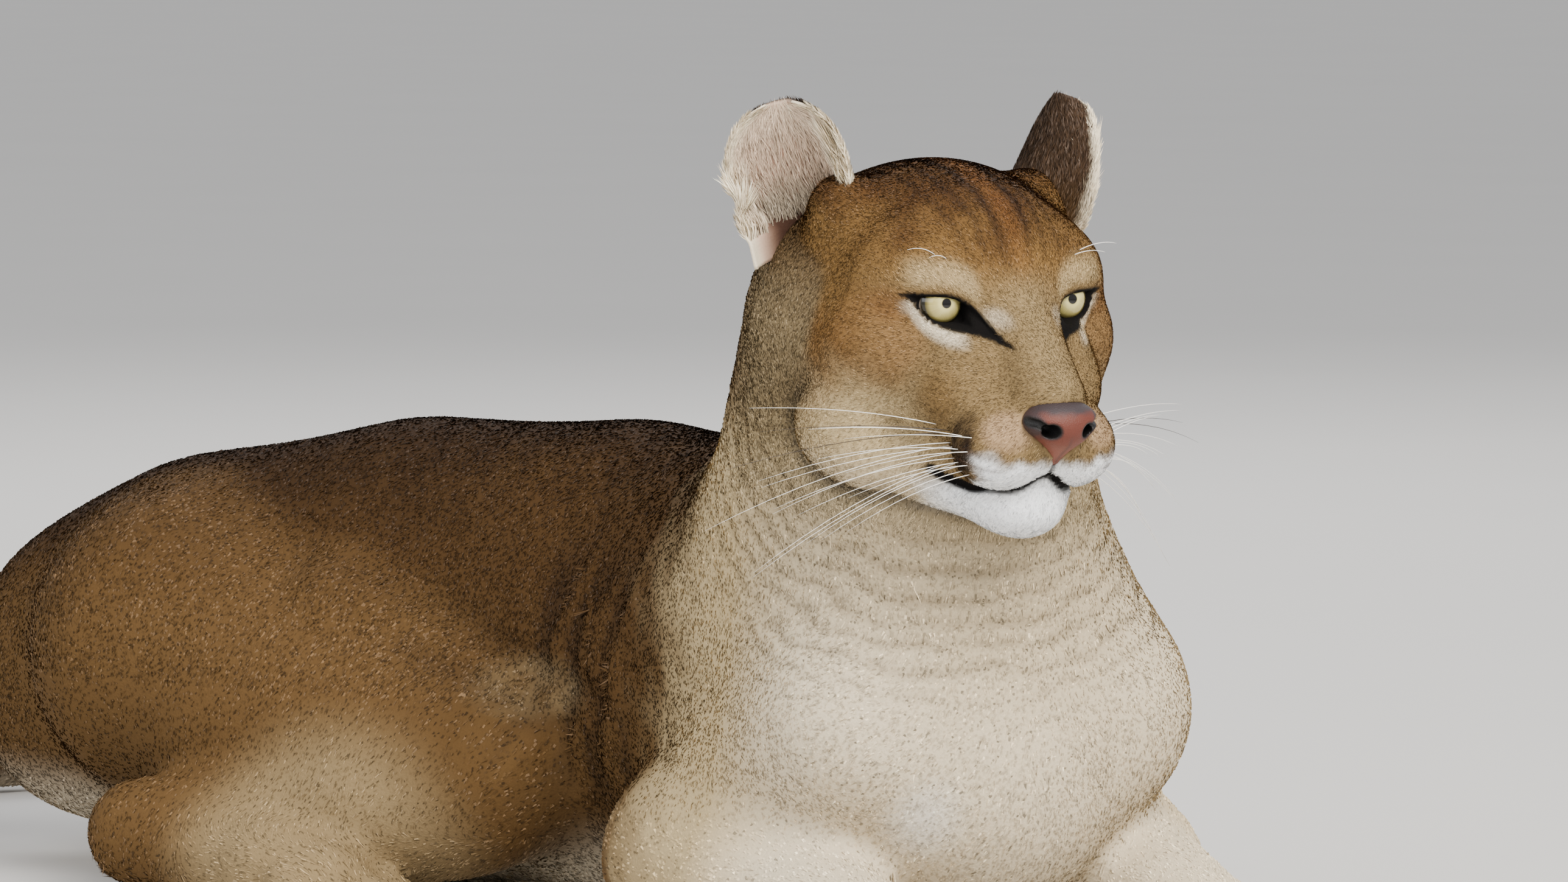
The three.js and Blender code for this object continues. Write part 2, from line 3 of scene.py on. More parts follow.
import bpy
import numpy as np
import openvdb
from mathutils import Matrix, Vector


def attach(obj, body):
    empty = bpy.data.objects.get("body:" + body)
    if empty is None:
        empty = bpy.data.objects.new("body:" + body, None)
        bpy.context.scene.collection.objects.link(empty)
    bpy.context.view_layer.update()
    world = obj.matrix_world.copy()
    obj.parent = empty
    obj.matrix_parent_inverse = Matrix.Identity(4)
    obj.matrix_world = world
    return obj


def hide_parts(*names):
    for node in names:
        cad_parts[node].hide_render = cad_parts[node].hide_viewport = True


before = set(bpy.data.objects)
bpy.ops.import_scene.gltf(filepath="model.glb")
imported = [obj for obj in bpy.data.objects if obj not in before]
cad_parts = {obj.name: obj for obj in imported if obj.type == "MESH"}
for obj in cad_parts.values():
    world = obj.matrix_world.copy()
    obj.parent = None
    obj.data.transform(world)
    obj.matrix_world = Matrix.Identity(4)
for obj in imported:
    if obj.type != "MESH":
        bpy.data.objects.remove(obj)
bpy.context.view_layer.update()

RNG = np.random.default_rng(7)
MM = 0.001
BOTH = RIGHT, LEFT = -1, 1
SIDES = (("right", RIGHT), ("left", LEFT))

# Body plan: the same named sizes as the solids, in millimetres
EYE_RADIUS = 14.0
EYE_LIFT = 3.0
# Turn of each eye away from straight ahead, in degrees
EYE_OUT = 12.0
EAR_LENGTH = 72.0
EAR_HALF_WIDTH = 37.0
EAR_CUP_DEPTH = 25.0
EAR_WALL = 5.0
EAR_INSET = 1.5
EAR_POCKET = 7
# Place of the root, lean outwards and turn of the opening from straight ahead
EAR_STANCE = {"right": (-86, 77, 15, 46), "left": (-84, 75, 22, 90)}
TAIL_RADIUS = 25.0
# Along the spine from the breast back, and its x, y and heading there
SPINE = np.array([
    (-300, 698, -247, -26), (0, 428, -116, -26), (100, 339, -72, -26), (200, 246, -35, -22),
    (300, 149, -9, -15), (400, 50, 2, -6), (500, -50, -2, 2), (600, -149, -17, 9),
    (700, -246, -42, 14), (800, -341, -71, 17), (950, -485, -115, 17),
], float)
TAIL_POINTS = np.array([
    (-360, -78, 118), (-430, -100, 70), (-500, -104, 34), (-568, -70, 25), (-600, 10, 25),
    (-578, 100, 25), (-510, 176, 25), (-420, 220, 25), (-325, 238, 25), (-235, 236, 24),
], float)


def turn(heading=0.0, pitch=0.0, roll=0.0):
    h, p, r = (math.radians(a) for a in (heading, pitch, roll))
    rz = np.array([[math.cos(h), -math.sin(h), 0], [math.sin(h), math.cos(h), 0], [0, 0, 1]])
    ry = np.array([[math.cos(p), 0, math.sin(p)], [0, 1, 0], [-math.sin(p), 0, math.cos(p)]])
    rx = np.array([[1, 0, 0], [0, math.cos(r), -math.sin(r)], [0, math.sin(r), math.cos(r)]])
    return rz @ ry @ rx


def spine_at(s):
    return [float(np.interp(s, SPINE[:, 0], SPINE[:, n])) for n in (1, 2, 3)]


def beside(s, side, z):
    x, y, heading = spine_at(s)
    h = math.radians(heading)
    return np.array([x - math.sin(h) * side, y + math.cos(h) * side, z])


HEAD_TURN = turn(-21, 9, 0)
HEAD_AT = np.array([453.0, -154.0, 374.0])
HEAD_REACH = 135


def on_head(x, y, z):
    return HEAD_AT + HEAD_TURN @ np.array([x, y, z], float)


def in_head(points):
    return (points - HEAD_AT) @ HEAD_TURN


def norms(vectors):
    return np.linalg.norm(vectors, axis=1)


def to_unit(vectors):
    return vectors / np.maximum(norms(vectors)[:, None], 1e-9)


def near_head(p):
    """Which points are close enough to the head for its fine work."""
    return np.nonzero(norms(p - HEAD_AT) < HEAD_REACH)[0]


def ball(basis, centre, radii, k):
    radii = np.array(radii, float)

    def distance(p):
        q = ((p - centre) @ basis) / radii
        near = norms(q)
        return near * (near - 1) / np.maximum(norms(q / radii), 1e-9)

    return distance, k


def limb(a, b, ra, rb, k):
    a, b = np.array(a, float), np.array(b, float)
    u = b - a
    length2 = float(u @ u)

    def distance(p):
        q = p - a
        t = np.clip(q @ u / length2, 0, 1)
        return norms(q - t[:, None] * u) - (ra + (rb - ra) * t)

    return distance, k


def trunk_ball(s, side, z, radii, k):
    return ball(turn(spine_at(s)[2]), beside(s, side, z), radii, k)


def skull(centre, radii, k):
    return ball(HEAD_TURN, on_head(*centre), radii, k)


def bar(a, b, ra, rb, k):
    return limb(on_head(*a), on_head(*b), ra, rb, k)


def blend(a, b, k):
    h = np.maximum(k - np.abs(a - b), 0) / k
    return np.minimum(a, b) - h * h * k / 4


def field_of(pieces):
    def field(p):
        d = np.full(len(p), 1e6)
        for distance, k in pieces:
            d = blend(d, distance(p), k)
        return d

    return field


def trunk_pieces():
    pieces = [
        trunk_ball(105, 0, 150, (108, 106, 128), 30),
        trunk_ball(240, 0, 148, (150, 122, 143), 40),
        trunk_ball(400, 0, 141, (170, 122, 144), 50),
        trunk_ball(550, 0, 138, (160, 116, 141), 50),
        trunk_ball(690, 0, 131, (140, 104, 122), 50),
        trunk_ball(790, 0, 112, (88, 78, 92), 40),
        limb(beside(60, 0, 120), beside(230, 0, 90), 92, 88, 30),
    ]
    for side in BOTH:
        pieces += [
            limb(beside(45, side * 66, 148), beside(185, side * 40, 246), 50, 42, 30),
            limb(beside(45, side * 68, 146), beside(180, side * 98, 72), 54, 50, 26),
        ]
    return pieces


def neck_pieces():
    return [
        limb(beside(150, 0, 190), on_head(-92, 0, -36), 118, 95, 40),
        limb(beside(80, 0, 180), on_head(-48, 0, -62), 104, 60, 30),
    ]


def paw_pieces(root, heading, size):
    basis = turn(heading)
    base = np.array([root[0], root[1], 0.0])

    def put(x, y, z):
        return base + basis @ (np.array([x, y, z], float) * size)

    pieces = [limb(put(0, 0, 33), put(44, 0, 27), 31 * size, 30 * size, 16)]
    for y, reach in ((-33, 70), (-12, 84), (12, 86), (34, 72)):
        pieces.append(limb(put(38, y * 0.7, 30), put(reach - 8, y, 20), 17 * size, 16.5 * size, 5))
        pieces.append(limb(put(reach - 4, y, 17), put(reach + 9, y, 13.5), 15.5 * size, 12.5 * size, 5))
    return pieces


def foreleg_pieces(side):
    elbow = beside(188, side * 108, 55)
    middle = beside(90, side * 104, 50)
    wrist = beside(-62, side * 92, 35)
    return [limb(elbow, middle, 50, 48, 20), limb(middle, wrist, 47, 32, 20)] + paw_pieces(
        wrist, spine_at(-62)[2] - side * 2, 1.0)


def hindleg_pieces(side):
    hip = beside(690, side * 62, 138)
    knee = beside(385, side * 116, 86)
    hock = beside(650, side * 168, 42)
    calf = beside(470, side * 138, 66)
    instep = beside(505, side * 196, 32)
    return [
        limb(hip, knee, 98, 46, 40),
        limb(beside(600, side * 84, 92), beside(430, side * 112, 78), 80, 54, 30),
        limb(beside(540, side * 108, 176), beside(372, side * 110, 118), 26, 24, 22),
        limb(knee, calf, 43, 48, 16),
        limb(calf, hock, 47, 31, 16),
        limb(hock, instep, 31, 27, 14),
    ] + paw_pieces(instep, spine_at(505)[2] + side * 6, 0.94)


def smooth_line(points, count):
    """Evenly spaced points on a smooth curve through the given ones."""
    ends = np.vstack([2 * points[0] - points[1], points, 2 * points[-1] - points[-2]])
    dense = []
    for i in range(len(points) - 1):
        p0, p1, p2, p3 = ends[i:i + 4]
        for t in np.linspace(0, 1, 12, endpoint=False):
            dense.append(0.5 * (2 * p1 + (p2 - p0) * t + (2 * p0 - 5 * p1 + 4 * p2 - p3) * t ** 2
                                + (3 * p1 - p0 - 3 * p2 + p3) * t ** 3))
    dense = np.vstack(dense + [points[-1]])
    along = np.r_[0, np.cumsum(norms(np.diff(dense, axis=0)))]
    at = np.linspace(0, along[-1], count)
    return np.stack([np.interp(at, along, dense[:, n]) for n in range(3)], 1)


TAIL_STEPS = 22
TAIL_LINE = smooth_line(TAIL_POINTS, TAIL_STEPS + 1)


def tail_pieces():
    def radius(i):
        return TAIL_RADIUS + 11 * math.exp(-i / 2.2) - 0.12 * i

    return [limb(TAIL_LINE[i], TAIL_LINE[i + 1], radius(i), radius(i + 1), 6) for i in range(TAIL_STEPS)]


def head_pieces():
    pieces = [
        skull((-62, 0, 6), (80, 70, 62), 20),
        skull((-20, 0, 14), (40, 44, 34), 24),
        bar((4, 0, 3), (63, 0, -33), 25, 18, 16),
        skull((38, 0, -54), (42, 32, 30), 14),
        bar((36, 0, -93), (-40, 0, -80), 19, 38, 16),
        skull((42, 0, -97), (23, 23, 18), 12),
    ]
    for side in BOTH:
        pieces += [
            skull((-7, side * 33, 19), (20, 20, 13), 12),
            skull((-34, side * 53, -24), (40, 32, 36), 18),
            skull((-30, side * 45, 14), (34, 26, 24), 18),
            skull((-52, side * 48, -68), (46, 41, 46), 20),
            skull((6, side * 30, -40), (38, 26, 30), 18),
            skull((14, side * 26, -17), (22, 16, 15), 12),
            skull((49, side * 20, -63), (27, 26, 24), 9),
            skull((-1, side * 37, EYE_LIFT), (17, 17, 16), 5),
            bar((28, side * 14, -90), (-30, side * 38, -84), 18, 28, 14),
            skull((-76, side * 56, 34), (26, 22, 26), 18),
        ]
    return pieces


TRUNK = field_of(trunk_pieces())
# The parts that are blended onto the trunk, in turn, each with the width of its blend
PARTS = {
    "neck": (field_of(neck_pieces()), 46),
    "head": (field_of(head_pieces()), 12),
    "tail": (field_of(tail_pieces()), 26),
    "fore_r": (field_of(foreleg_pieces(RIGHT)), 22),
    "hind_r": (field_of(hindleg_pieces(RIGHT)), 24),
    "fore_l": (field_of(foreleg_pieces(LEFT)), 22),
    "hind_l": (field_of(hindleg_pieces(LEFT)), 24),
}


def body_groups(p):
    """Distance to each part of the body, as one array per part."""
    return {"trunk": TRUNK(p)} | {name: field(p) for name, (field, _) in PARTS.items()}


def body_field(p, groups=None):
    g = groups or body_groups(p)
    d = g["trunk"]
    for name, (_, k) in PARTS.items():
        d = blend(d, g[name], k)
    return d


def nearest_limb(groups):
    return np.minimum.reduce([groups[name] for name in ("fore_r", "fore_l", "hind_r", "hind_l")])


GRADIENT_STEP = 0.6


def gradient(field, p):
    """The direction in which a field grows fastest."""
    g = np.empty_like(p)
    for n in range(3):
        e = np.zeros(3)
        e[n] = GRADIENT_STEP
        g[:, n] = field(p + e) - field(p - e)
    return to_unit(g)


def settle(field, points, limit):
    """Move points towards the field's surface, each by the limit at most."""
    return points - np.clip(field(points), -limit, limit)[:, None] * gradient(field, points)


def smooth(low, high, value):
    t = np.clip((value - low) / (high - low), 0, 1)
    return t * t * (3 - 2 * t)


PAW_CENTRES = [beside(s, side * out, 20) for s, out in ((-107, 92), (465, 196)) for side in BOTH]


def left_at_paws(p, inner, outer, loss):
    """The share of the coat's depth or length that is left near the paws."""
    left = np.ones(len(p))
    for centre in PAW_CENTRES:
        left = left * (1 - loss * smooth(outer, inner, norms(p - centre)))
    return left


def coat_depth(p):
    """How far the skin lies inside the outline, least on the face."""
    from_face = norms((in_head(p) - (20, 0, -30)) / 95)
    return (1.2 + 2.9 * smooth(0.6, 1.7, from_face)) * left_at_paws(p, 70, 190, 0.65)


def eye_basis(side):
    return HEAD_TURN @ turn(side * EYE_OUT)


def eye_centre(side):
    return on_head(-1, side * 37, EYE_LIFT)


def eye_plane(p, side):
    """Distance ahead of the eye's centre, towards the outer corner, and up."""
    q = (p - eye_centre(side)) @ eye_basis(side)
    return q[:, 0], q[:, 1] * side, q[:, 2]


LID_INNER, LID_OUTER = (-25.0, -11.6), (16.5, 5.0)


def lid_edges(y):
    """Place along the opening, and the heights of the upper and lower lid's edge."""
    t = np.clip((y - LID_INNER[0]) / (LID_OUTER[0] - LID_INNER[0]), 0, 1)
    chord = LID_INNER[1] + (LID_OUTER[1] - LID_INNER[1]) * t
    upper = chord + 9.0 * np.sin(math.pi * t ** 0.75) ** 1.05
    lower = chord - 6.7 * np.sin(math.pi * t ** 2)
    return t, upper, lower


def lid_gap(p, side):
    """Negative inside the opening between the lids, in front of the eye."""
    ahead, y, z = eye_plane(p, side)
    t, upper, lower = lid_edges(y)
    across = np.maximum(z - upper, lower - z) * 0.9
    ends = np.maximum(LID_INNER[0] - y, y - LID_OUTER[0])
    return np.maximum.reduce([across, ends, 8.0 - ahead])


def pocket_depth(p, side):
    """How deep the opening goes: shallow towards the inner corner."""
    _, y, _ = eye_plane(p, side)
    return 1.8 + 28 * smooth(0.24, 0.5, lid_edges(y)[0])


LIP_SIDE = [(17, 46, -82), (28, 40, -86.5), (39, 32, -88), (51, 25, -85.5), (60, 12, -81), (66, 0, -75)]
LIP_DEPTH = -1.6


def onto_outline(points, level):
    """Move points to a level above the body's outline, or below it where the level is negative."""
    for _ in range(8):
        points = settle(lambda p: body_field(p) - level, points, 6)
    return points


LIP_LINE = onto_outline(smooth_line(np.array(
    [on_head(*q) for q in LIP_SIDE] + [on_head(x, -y, z) for x, y, z in LIP_SIDE[-2::-1]]), 40), LIP_DEPTH)
PHILTRUM = onto_outline(smooth_line(np.array(
    [on_head(74, 0, -60), on_head(70, 0, -68), on_head(66, 0, -75)]), 8), LIP_DEPTH)


def nearest_on_line(p, line):
    """Distance to a line of points, and how far along it the nearest place is, from 0 to 1."""
    best = np.full(len(p), 1e9)
    at = np.zeros(len(p))
    for i, (a, b) in enumerate(zip(line[:-1], line[1:])):
        u = b - a
        t = np.clip((p - a) @ u / (u @ u), 0, 1)
        d = norms(p - a - t[:, None] * u)
        closer = d < best
        best = np.where(closer, d, best)
        at = np.where(closer, (i + t) / (len(line) - 1), at)
    return best, at


def distance_to_line(p, line):
    return nearest_on_line(p, line)[0]


NOSTRILS = [skull((85, side * 10.5, -47), (9, 4.4, 3.8), 1)[0] for side in BOTH]
NOSTRIL_SLITS = [
    np.array([on_head(86, side * 12, -46), on_head(82, side * 17, -43.5), on_head(75, side * 22, -43)])
    for side in BOTH
]


def nostril_field(p):
    d = np.minimum(NOSTRILS[0](p), NOSTRILS[1](p))
    for slit in NOSTRIL_SLITS:
        d = np.minimum(d, distance_to_line(p, slit) - 1.9)
    return d


NOSE = field_of([skull((75, 0, -44), (15, 21, 11.5), 6), bar((76, 0, -50), (70, 0, -64), 11, 5, 8)])


def nose_field(p):
    return carve(NOSE(p) + 0.2, nostril_field(p), 1.6)


def carve(d, hole, k):
    """Take a hole out of a solid, with its edge rounded over a width."""
    return -blend(-d, hole, k)


FOLDS_AT = (268, 291, 318, 342)
FOLD_HEIGHT = 3.2
SKIN_FLOOR = 0.6


def shoulder_folds(p, s, side):
    """Loose skin gathered behind the shoulder, deepest half way down the flank."""
    bend = s + 0.16 * (p[:, 2] - 120) + 7 * wave_noise(p, 70, 41)
    ridge = sum(np.exp(-((bend - at) / 7.5) ** 2) for at in FOLDS_AT)
    height = smooth(55, 100, p[:, 2]) * smooth(250, 190, p[:, 2])
    return ridge * height * (0.8 + 0.5 * wave_noise(p, 45, 42)) * smooth(60, 85, np.abs(side))


# The thigh's upper front edge and the fold below it: along the spine, out from it and up
THIGH_RIDGE = ((530, 118, 206), (455, 121, 186), (388, 124, 164), (285, 124, 140))
THIGH_CREASE = ((452, 139, 158), (390, 134, 142), (318, 122, 119))


def thigh_lines(p):
    """Nearness to the ridge of the thigh and to the fold below it."""
    near = []
    for line, count, width in ((THIGH_RIDGE, 10, 9.0), (THIGH_CREASE, 8, 8.0)):
        d = np.full(len(p), 1e6)
        for side in BOTH:
            path = smooth_line(np.array([beside(at, side * out, z) for at, out, z in line]), count)
            d = np.minimum(d, distance_to_line(p, path))
        near.append(np.exp(-(d / width) ** 2))
    return near


def jowl_crease(g, h):
    """1 in the crease where the cheek and jaw lie on the neck."""
    gap = g["head"] - np.minimum(g["neck"], g["trunk"])
    under = smooth(-30, -62, h[:, 2])
    return np.exp(-(gap / 5.0) ** 2) * under


def throat_lines(g, h):
    """Fine wrinkles across the throat and neck, roughly along the jaw."""
    far = g["head"] + 5 * wave_noise(h, 60, 43)
    band = smooth(8, 20, far) * smooth(120, 70, far) * smooth(-45, -85, h[:, 2])
    return (0.5 + 0.5 * np.sin(far * 2 * math.pi / 13 + 1.2 * wave_noise(h, 35, 44))) ** 3 * band


def skin_field(p):
    """The outline less the coat, with folds, lids, lips and nostrils, cut flat just above the floor."""
    g = body_groups(p)
    h = in_head(p)
    s, side = spine_place(p)
    ridge, crease = thigh_lines(p)
    d = body_field(p, g) + coat_depth(p) - FOLD_HEIGHT * shoulder_folds(p, s, side)
    d = d + 5.0 * jowl_crease(g, h) + 1.2 * throat_lines(g, h) + 5.0 * ridge + 3.5 * crease
    near = near_head(p)
    if len(near):
        q, e = p[near], d[near]
        for side in BOTH:
            e = carve(e, np.maximum(lid_gap(q, side), -e - pocket_depth(q, side)), 1.2)
        e = carve(e, distance_to_line(q, LIP_LINE) - 2.0, 2.4)
        e = carve(e, distance_to_line(q, PHILTRUM) - 1.0, 1.6)
        e = carve(e, nostril_field(q), 1.5)
        e = carve(e, NOSE(q) + 0.9, 1.2)
        d[near] = e
    return np.maximum(d, SKIN_FLOOR - p[:, 2])


def mesh_field(field, low, high, cell):
    """Mesh a field, working out only the blocks that the surface crosses."""
    block = 4
    low, high = np.array(low, float), np.array(high, float)
    blocks = np.ceil((high - low) / (cell * block)).astype(int)
    index = np.indices(blocks).reshape(3, -1).T
    centres = low + (index + 0.5) * cell * block - 0.5 * cell
    d = field(centres)
    reach = cell * block * 0.87 * 1.7 + 4
    far = cell * 3
    values = np.repeat(np.where(d < 0, -far, far), block ** 3).reshape(-1, block, block, block)
    active = np.nonzero(np.abs(d) < reach)[0]
    offsets = np.indices((block, block, block)).reshape(3, -1).T
    for chunk in np.array_split(active, max(1, len(active) // 4000)):
        points = (low + (index[chunk][:, None] * block + offsets) * cell).reshape(-1, 3)
        values[chunk] = np.clip(field(points), -far, far).reshape(-1, block, block, block)
    values = values.reshape(*blocks, block, block, block).transpose(0, 3, 1, 4, 2, 5)
    values = values.reshape(*(blocks * block)).astype(np.float32)
    for n in range(3):
        edge = [slice(None)] * 3
        edge[n] = [0, -1]
        values[tuple(edge)] = np.maximum(values[tuple(edge)], 0.3 * cell)
    grid = openvdb.FloatGrid(far)
    grid.copyFromArray(values)
    points, triangles, quads = grid.convertToPolygons(0.0, 0.0)
    points = low + points * cell
    faces = np.vstack([np.c_[quads[:, :3]], quads[:, [0, 2, 3]], triangles.reshape(-1, 3)])[:, ::-1]
    return points, faces


def keep_faces(points, faces, keep):
    faces = faces[keep[faces].all(axis=1)]
    used = np.unique(faces)
    remap = np.full(len(points), -1)
    remap[used] = np.arange(len(used))
    return points[used], remap[faces]


def vertex_normals(points, faces):
    a, b, c = (points[faces[:, n]] for n in range(3))
    across = np.cross(b - a, c - a)
    out = np.zeros_like(points)
    for n in range(3):
        np.add.at(out, faces[:, n], across)
    return to_unit(out)


def join(parts):
    """One mesh from several, each given as points and faces."""
    starts = np.cumsum([0] + [len(points) for points, _ in parts[:-1]])
    faces = [faces + start for (_, faces), start in zip(parts, starts)]
    return np.vstack([points for points, _ in parts]), np.vstack(faces)


def add_mesh(name, points, faces, material, tint=None, uv=None, smooth_shade=True):
    """Make an object from triangles given in millimetres."""
    mesh = bpy.data.meshes.new(name)
    mesh.vertices.add(len(points))
    mesh.vertices.foreach_set("co", (np.asarray(points) * MM).astype(np.float32).ravel())
    mesh.loops.add(faces.size)
    mesh.loops.foreach_set("vertex_index", faces.astype(np.int32).ravel())
    mesh.polygons.add(len(faces))
    mesh.polygons.foreach_set("loop_start", np.arange(0, faces.size, 3, dtype=np.int32))
    if tint is not None:
        layer = mesh.color_attributes.new("tint", "FLOAT_COLOR", "POINT")
        layer.data.foreach_set("color", np.c_[tint, np.ones(len(tint))].astype(np.float32).ravel())
    if uv is not None:
        layer = mesh.uv_layers.new(name="OFBake")
        layer.data.foreach_set("uv", uv[faces.ravel()].astype(np.float32).ravel())
    mesh.update(calc_edges=True)
    mesh.validate()
    mesh.polygons.foreach_set("use_smooth", np.full(len(mesh.polygons), smooth_shade))
    mesh.materials.append(material)
    thing = bpy.data.objects.new(name, mesh)
    bpy.context.scene.collection.objects.link(thing)
    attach(thing, "root")
    return thing


def srgb(r, g, b):
    c = np.array([r, g, b]) / 255
    return np.where(c <= 0.04045, c / 12.92, ((c + 0.055) / 1.055) ** 2.4)


# TAWNY, DORSAL, FLANK and THIGH are the coat's own colours darkened to about half, as painted shade over the
# trunk
TAWNY = srgb(94, 70, 40)
DORSAL = srgb(40, 26, 14)
FLANK = srgb(74, 52, 28)
THIGH = srgb(98, 73, 43)
BUFF = srgb(192, 170, 128)
CREAM = srgb(216, 202, 176)
WHITE = srgb(250, 251, 252)
FACE = srgb(118, 89, 50)
GREY_FACE = srgb(128, 109, 77)
CROWN = srgb(60, 36, 18)
RUST = srgb(116, 74, 38)
DARK = srgb(36, 25, 18)
BLACK = srgb(12, 10, 9)
PINK = srgb(88, 42, 31)
WHISKER_PAD = srgb(168, 138, 106)
WHISKER_SPOTS = srgb(96, 72, 54)


def wave_noise(p, scale, seed):
    """Smooth noise from a few waves of fixed random directions."""
    rng = np.random.default_rng(seed)
    total = np.zeros(len(p))
    for _ in range(7):
        direction = rng.normal(size=3)
        direction *= rng.uniform(0.6, 1.5) / (scale * np.linalg.norm(direction))
        total += np.sin(p @ direction * 2 * math.pi + rng.uniform(0, 6.28))
    return total / 7 ** 0.5 / 1.4


def spot(p, centre, radii):
    """1 inside a soft-edged ellipsoid and 0 outside it."""
    return smooth(1.15, 0.55, norms((p - centre) / np.array(radii, float)))


def mix(base, colour, amount):
    return base + (colour - base) * np.clip(amount, 0, 1)[:, None]


def paint(colour, *coats):
    """Lay coats over a colour in turn, each a colour and how much of it each point takes."""
    for shade, amount in coats:
        colour = mix(colour, shade, amount)
    return colour


def solid(colour, count):
    return np.repeat(colour[None], count, 0)


def spine_place(p):
    """How far behind the breast and to the left of the spine each point lies."""
    best = np.full(len(p), 1e9)
    s_at = np.zeros(len(p))
    side = np.zeros(len(p))
    for (s0, x0, y0, _), (s1, x1, y1, _) in zip(SPINE[:-1], SPINE[1:]):
        u = np.array([x1 - x0, y1 - y0])
        q = p[:, :2] - (x0, y0)
        t = np.clip(q @ u / (u @ u), 0, 1)
        gap = q - t[:, None] * u
        d = norms(gap)
        closer = d < best
        best = np.where(closer, d, best)
        s_at = np.where(closer, s0 + t * (s1 - s0), s_at)
        side = np.where(closer, np.sign(u[1] * q[:, 0] - u[0] * q[:, 1]) * d, side)
    return s_at, side


def markings(p, g):
    """The colour of the skin and the coat, from the distances to the parts of the body."""
    h = in_head(p)
    s, side = spine_place(p)
    z, out = p[:, 2], np.abs(side)
    n1, n2, n3 = (wave_noise(p, scale, seed) for scale, seed in ((90, 1), (28, 2), (14, 3)))
    back = smooth(95, 12, out + 12 * n2) * smooth(120, 230, z)
    rump = smooth(380, 540, s) * smooth(170, 250, z + 10 * n1)
    gathered = smooth(245, 262, s) * smooth(365, 348, s) * smooth(60, 85, out)
    gathered = gathered * smooth(60, 95, z) * smooth(235, 190, z)
    ridge, crease = thigh_lines(p)
    chest = smooth(285, 150, s + 0.25 * out + 14 * n2 + 12 * n1) * smooth(-60, -120, h[:, 2])
    throat = smooth(150, 60, s + 0.3 * out) * smooth(-80, -150, h[:, 2])
    neck_side = smooth(30, -20, g["neck"]) * smooth(-190, -105, h[:, 0] + 0.25 * h[:, 2])
    tail = smooth(12, 0, g["tail"])
    _, along_tail = nearest_on_line(p, TAIL_LINE)
    colour = paint(
        solid(FLANK, len(p)),
        (TAWNY, 0.5 * smooth(200, 90, z) + 0.12 * n1 + 0.1 * n2),
        (THIGH, 0.6 * smooth(380, 480, s) * smooth(215, 150, z + 10 * n1)),
        (DORSAL, 0.85 * back),
        (DORSAL, 0.5 * rump),
        # painted shade in the grooves between the shoulder folds
        (DARK, 0.5 * smooth(0.5, 0.1, shoulder_folds(p, s, side)) * gathered),
        (CREAM, smooth(75, 15, z) * smooth(80, 180, s) * smooth(130, 60, out)),
        (BUFF, 0.2 * spot(p, beside(345, -124, 140), (46, 30, 20)) * (0.8 + 0.3 * n3)),
        (TAWNY * 1.08, 0.35 * smooth(20, 0, nearest_limb(g))),
        *((BUFF, 0.34 * smooth(120, 60, norms(p - centre))) for centre in PAW_CENTRES),
        (BUFF, 0.92 * chest),
        (CREAM, 0.75 * throat),
        (BUFF * 0.66, 0.75 * neck_side * smooth(40, -30, h[:, 2])),
        (WHITE, 0.45 * spot(p, beside(10, -45, 110), (34, 30, 34))),
        (CREAM, 0.6 * spot(p, beside(0, 15, 105), (30, 26, 34))),
        # painted shade in the grooves of the throat's wrinkles
        (FLANK * 0.9, 0.34 * throat_lines(g, h)),
        # painted shade along the thigh's front edge and in the fold below it
        (DARK, 0.45 * ridge + 0.3 * crease),
        (FLANK, 0.8 * tail),
        (CREAM, 0.5 * tail * smooth(22, 6, z)),
        (DARK, tail * smooth(0.86, 0.93, along_tail)),
    )
    colour = eye_markings(head_markings(colour, h, g, n2, n3), p)
    # painted shade in the crease where the cheek and jaw lie on the neck
    return mix(colour, DARK, 0.7 * jowl_crease(g, h))


# Distance from the middle, lean outwards, width and depth of colour
CROWN_STRIPES = ((7, 0.10, 3.2, 0.75), (17, 0.16, 2.4, 0.5), (27, 0.22, 2.4, 0.35))
WHISKER_ROWS = 4


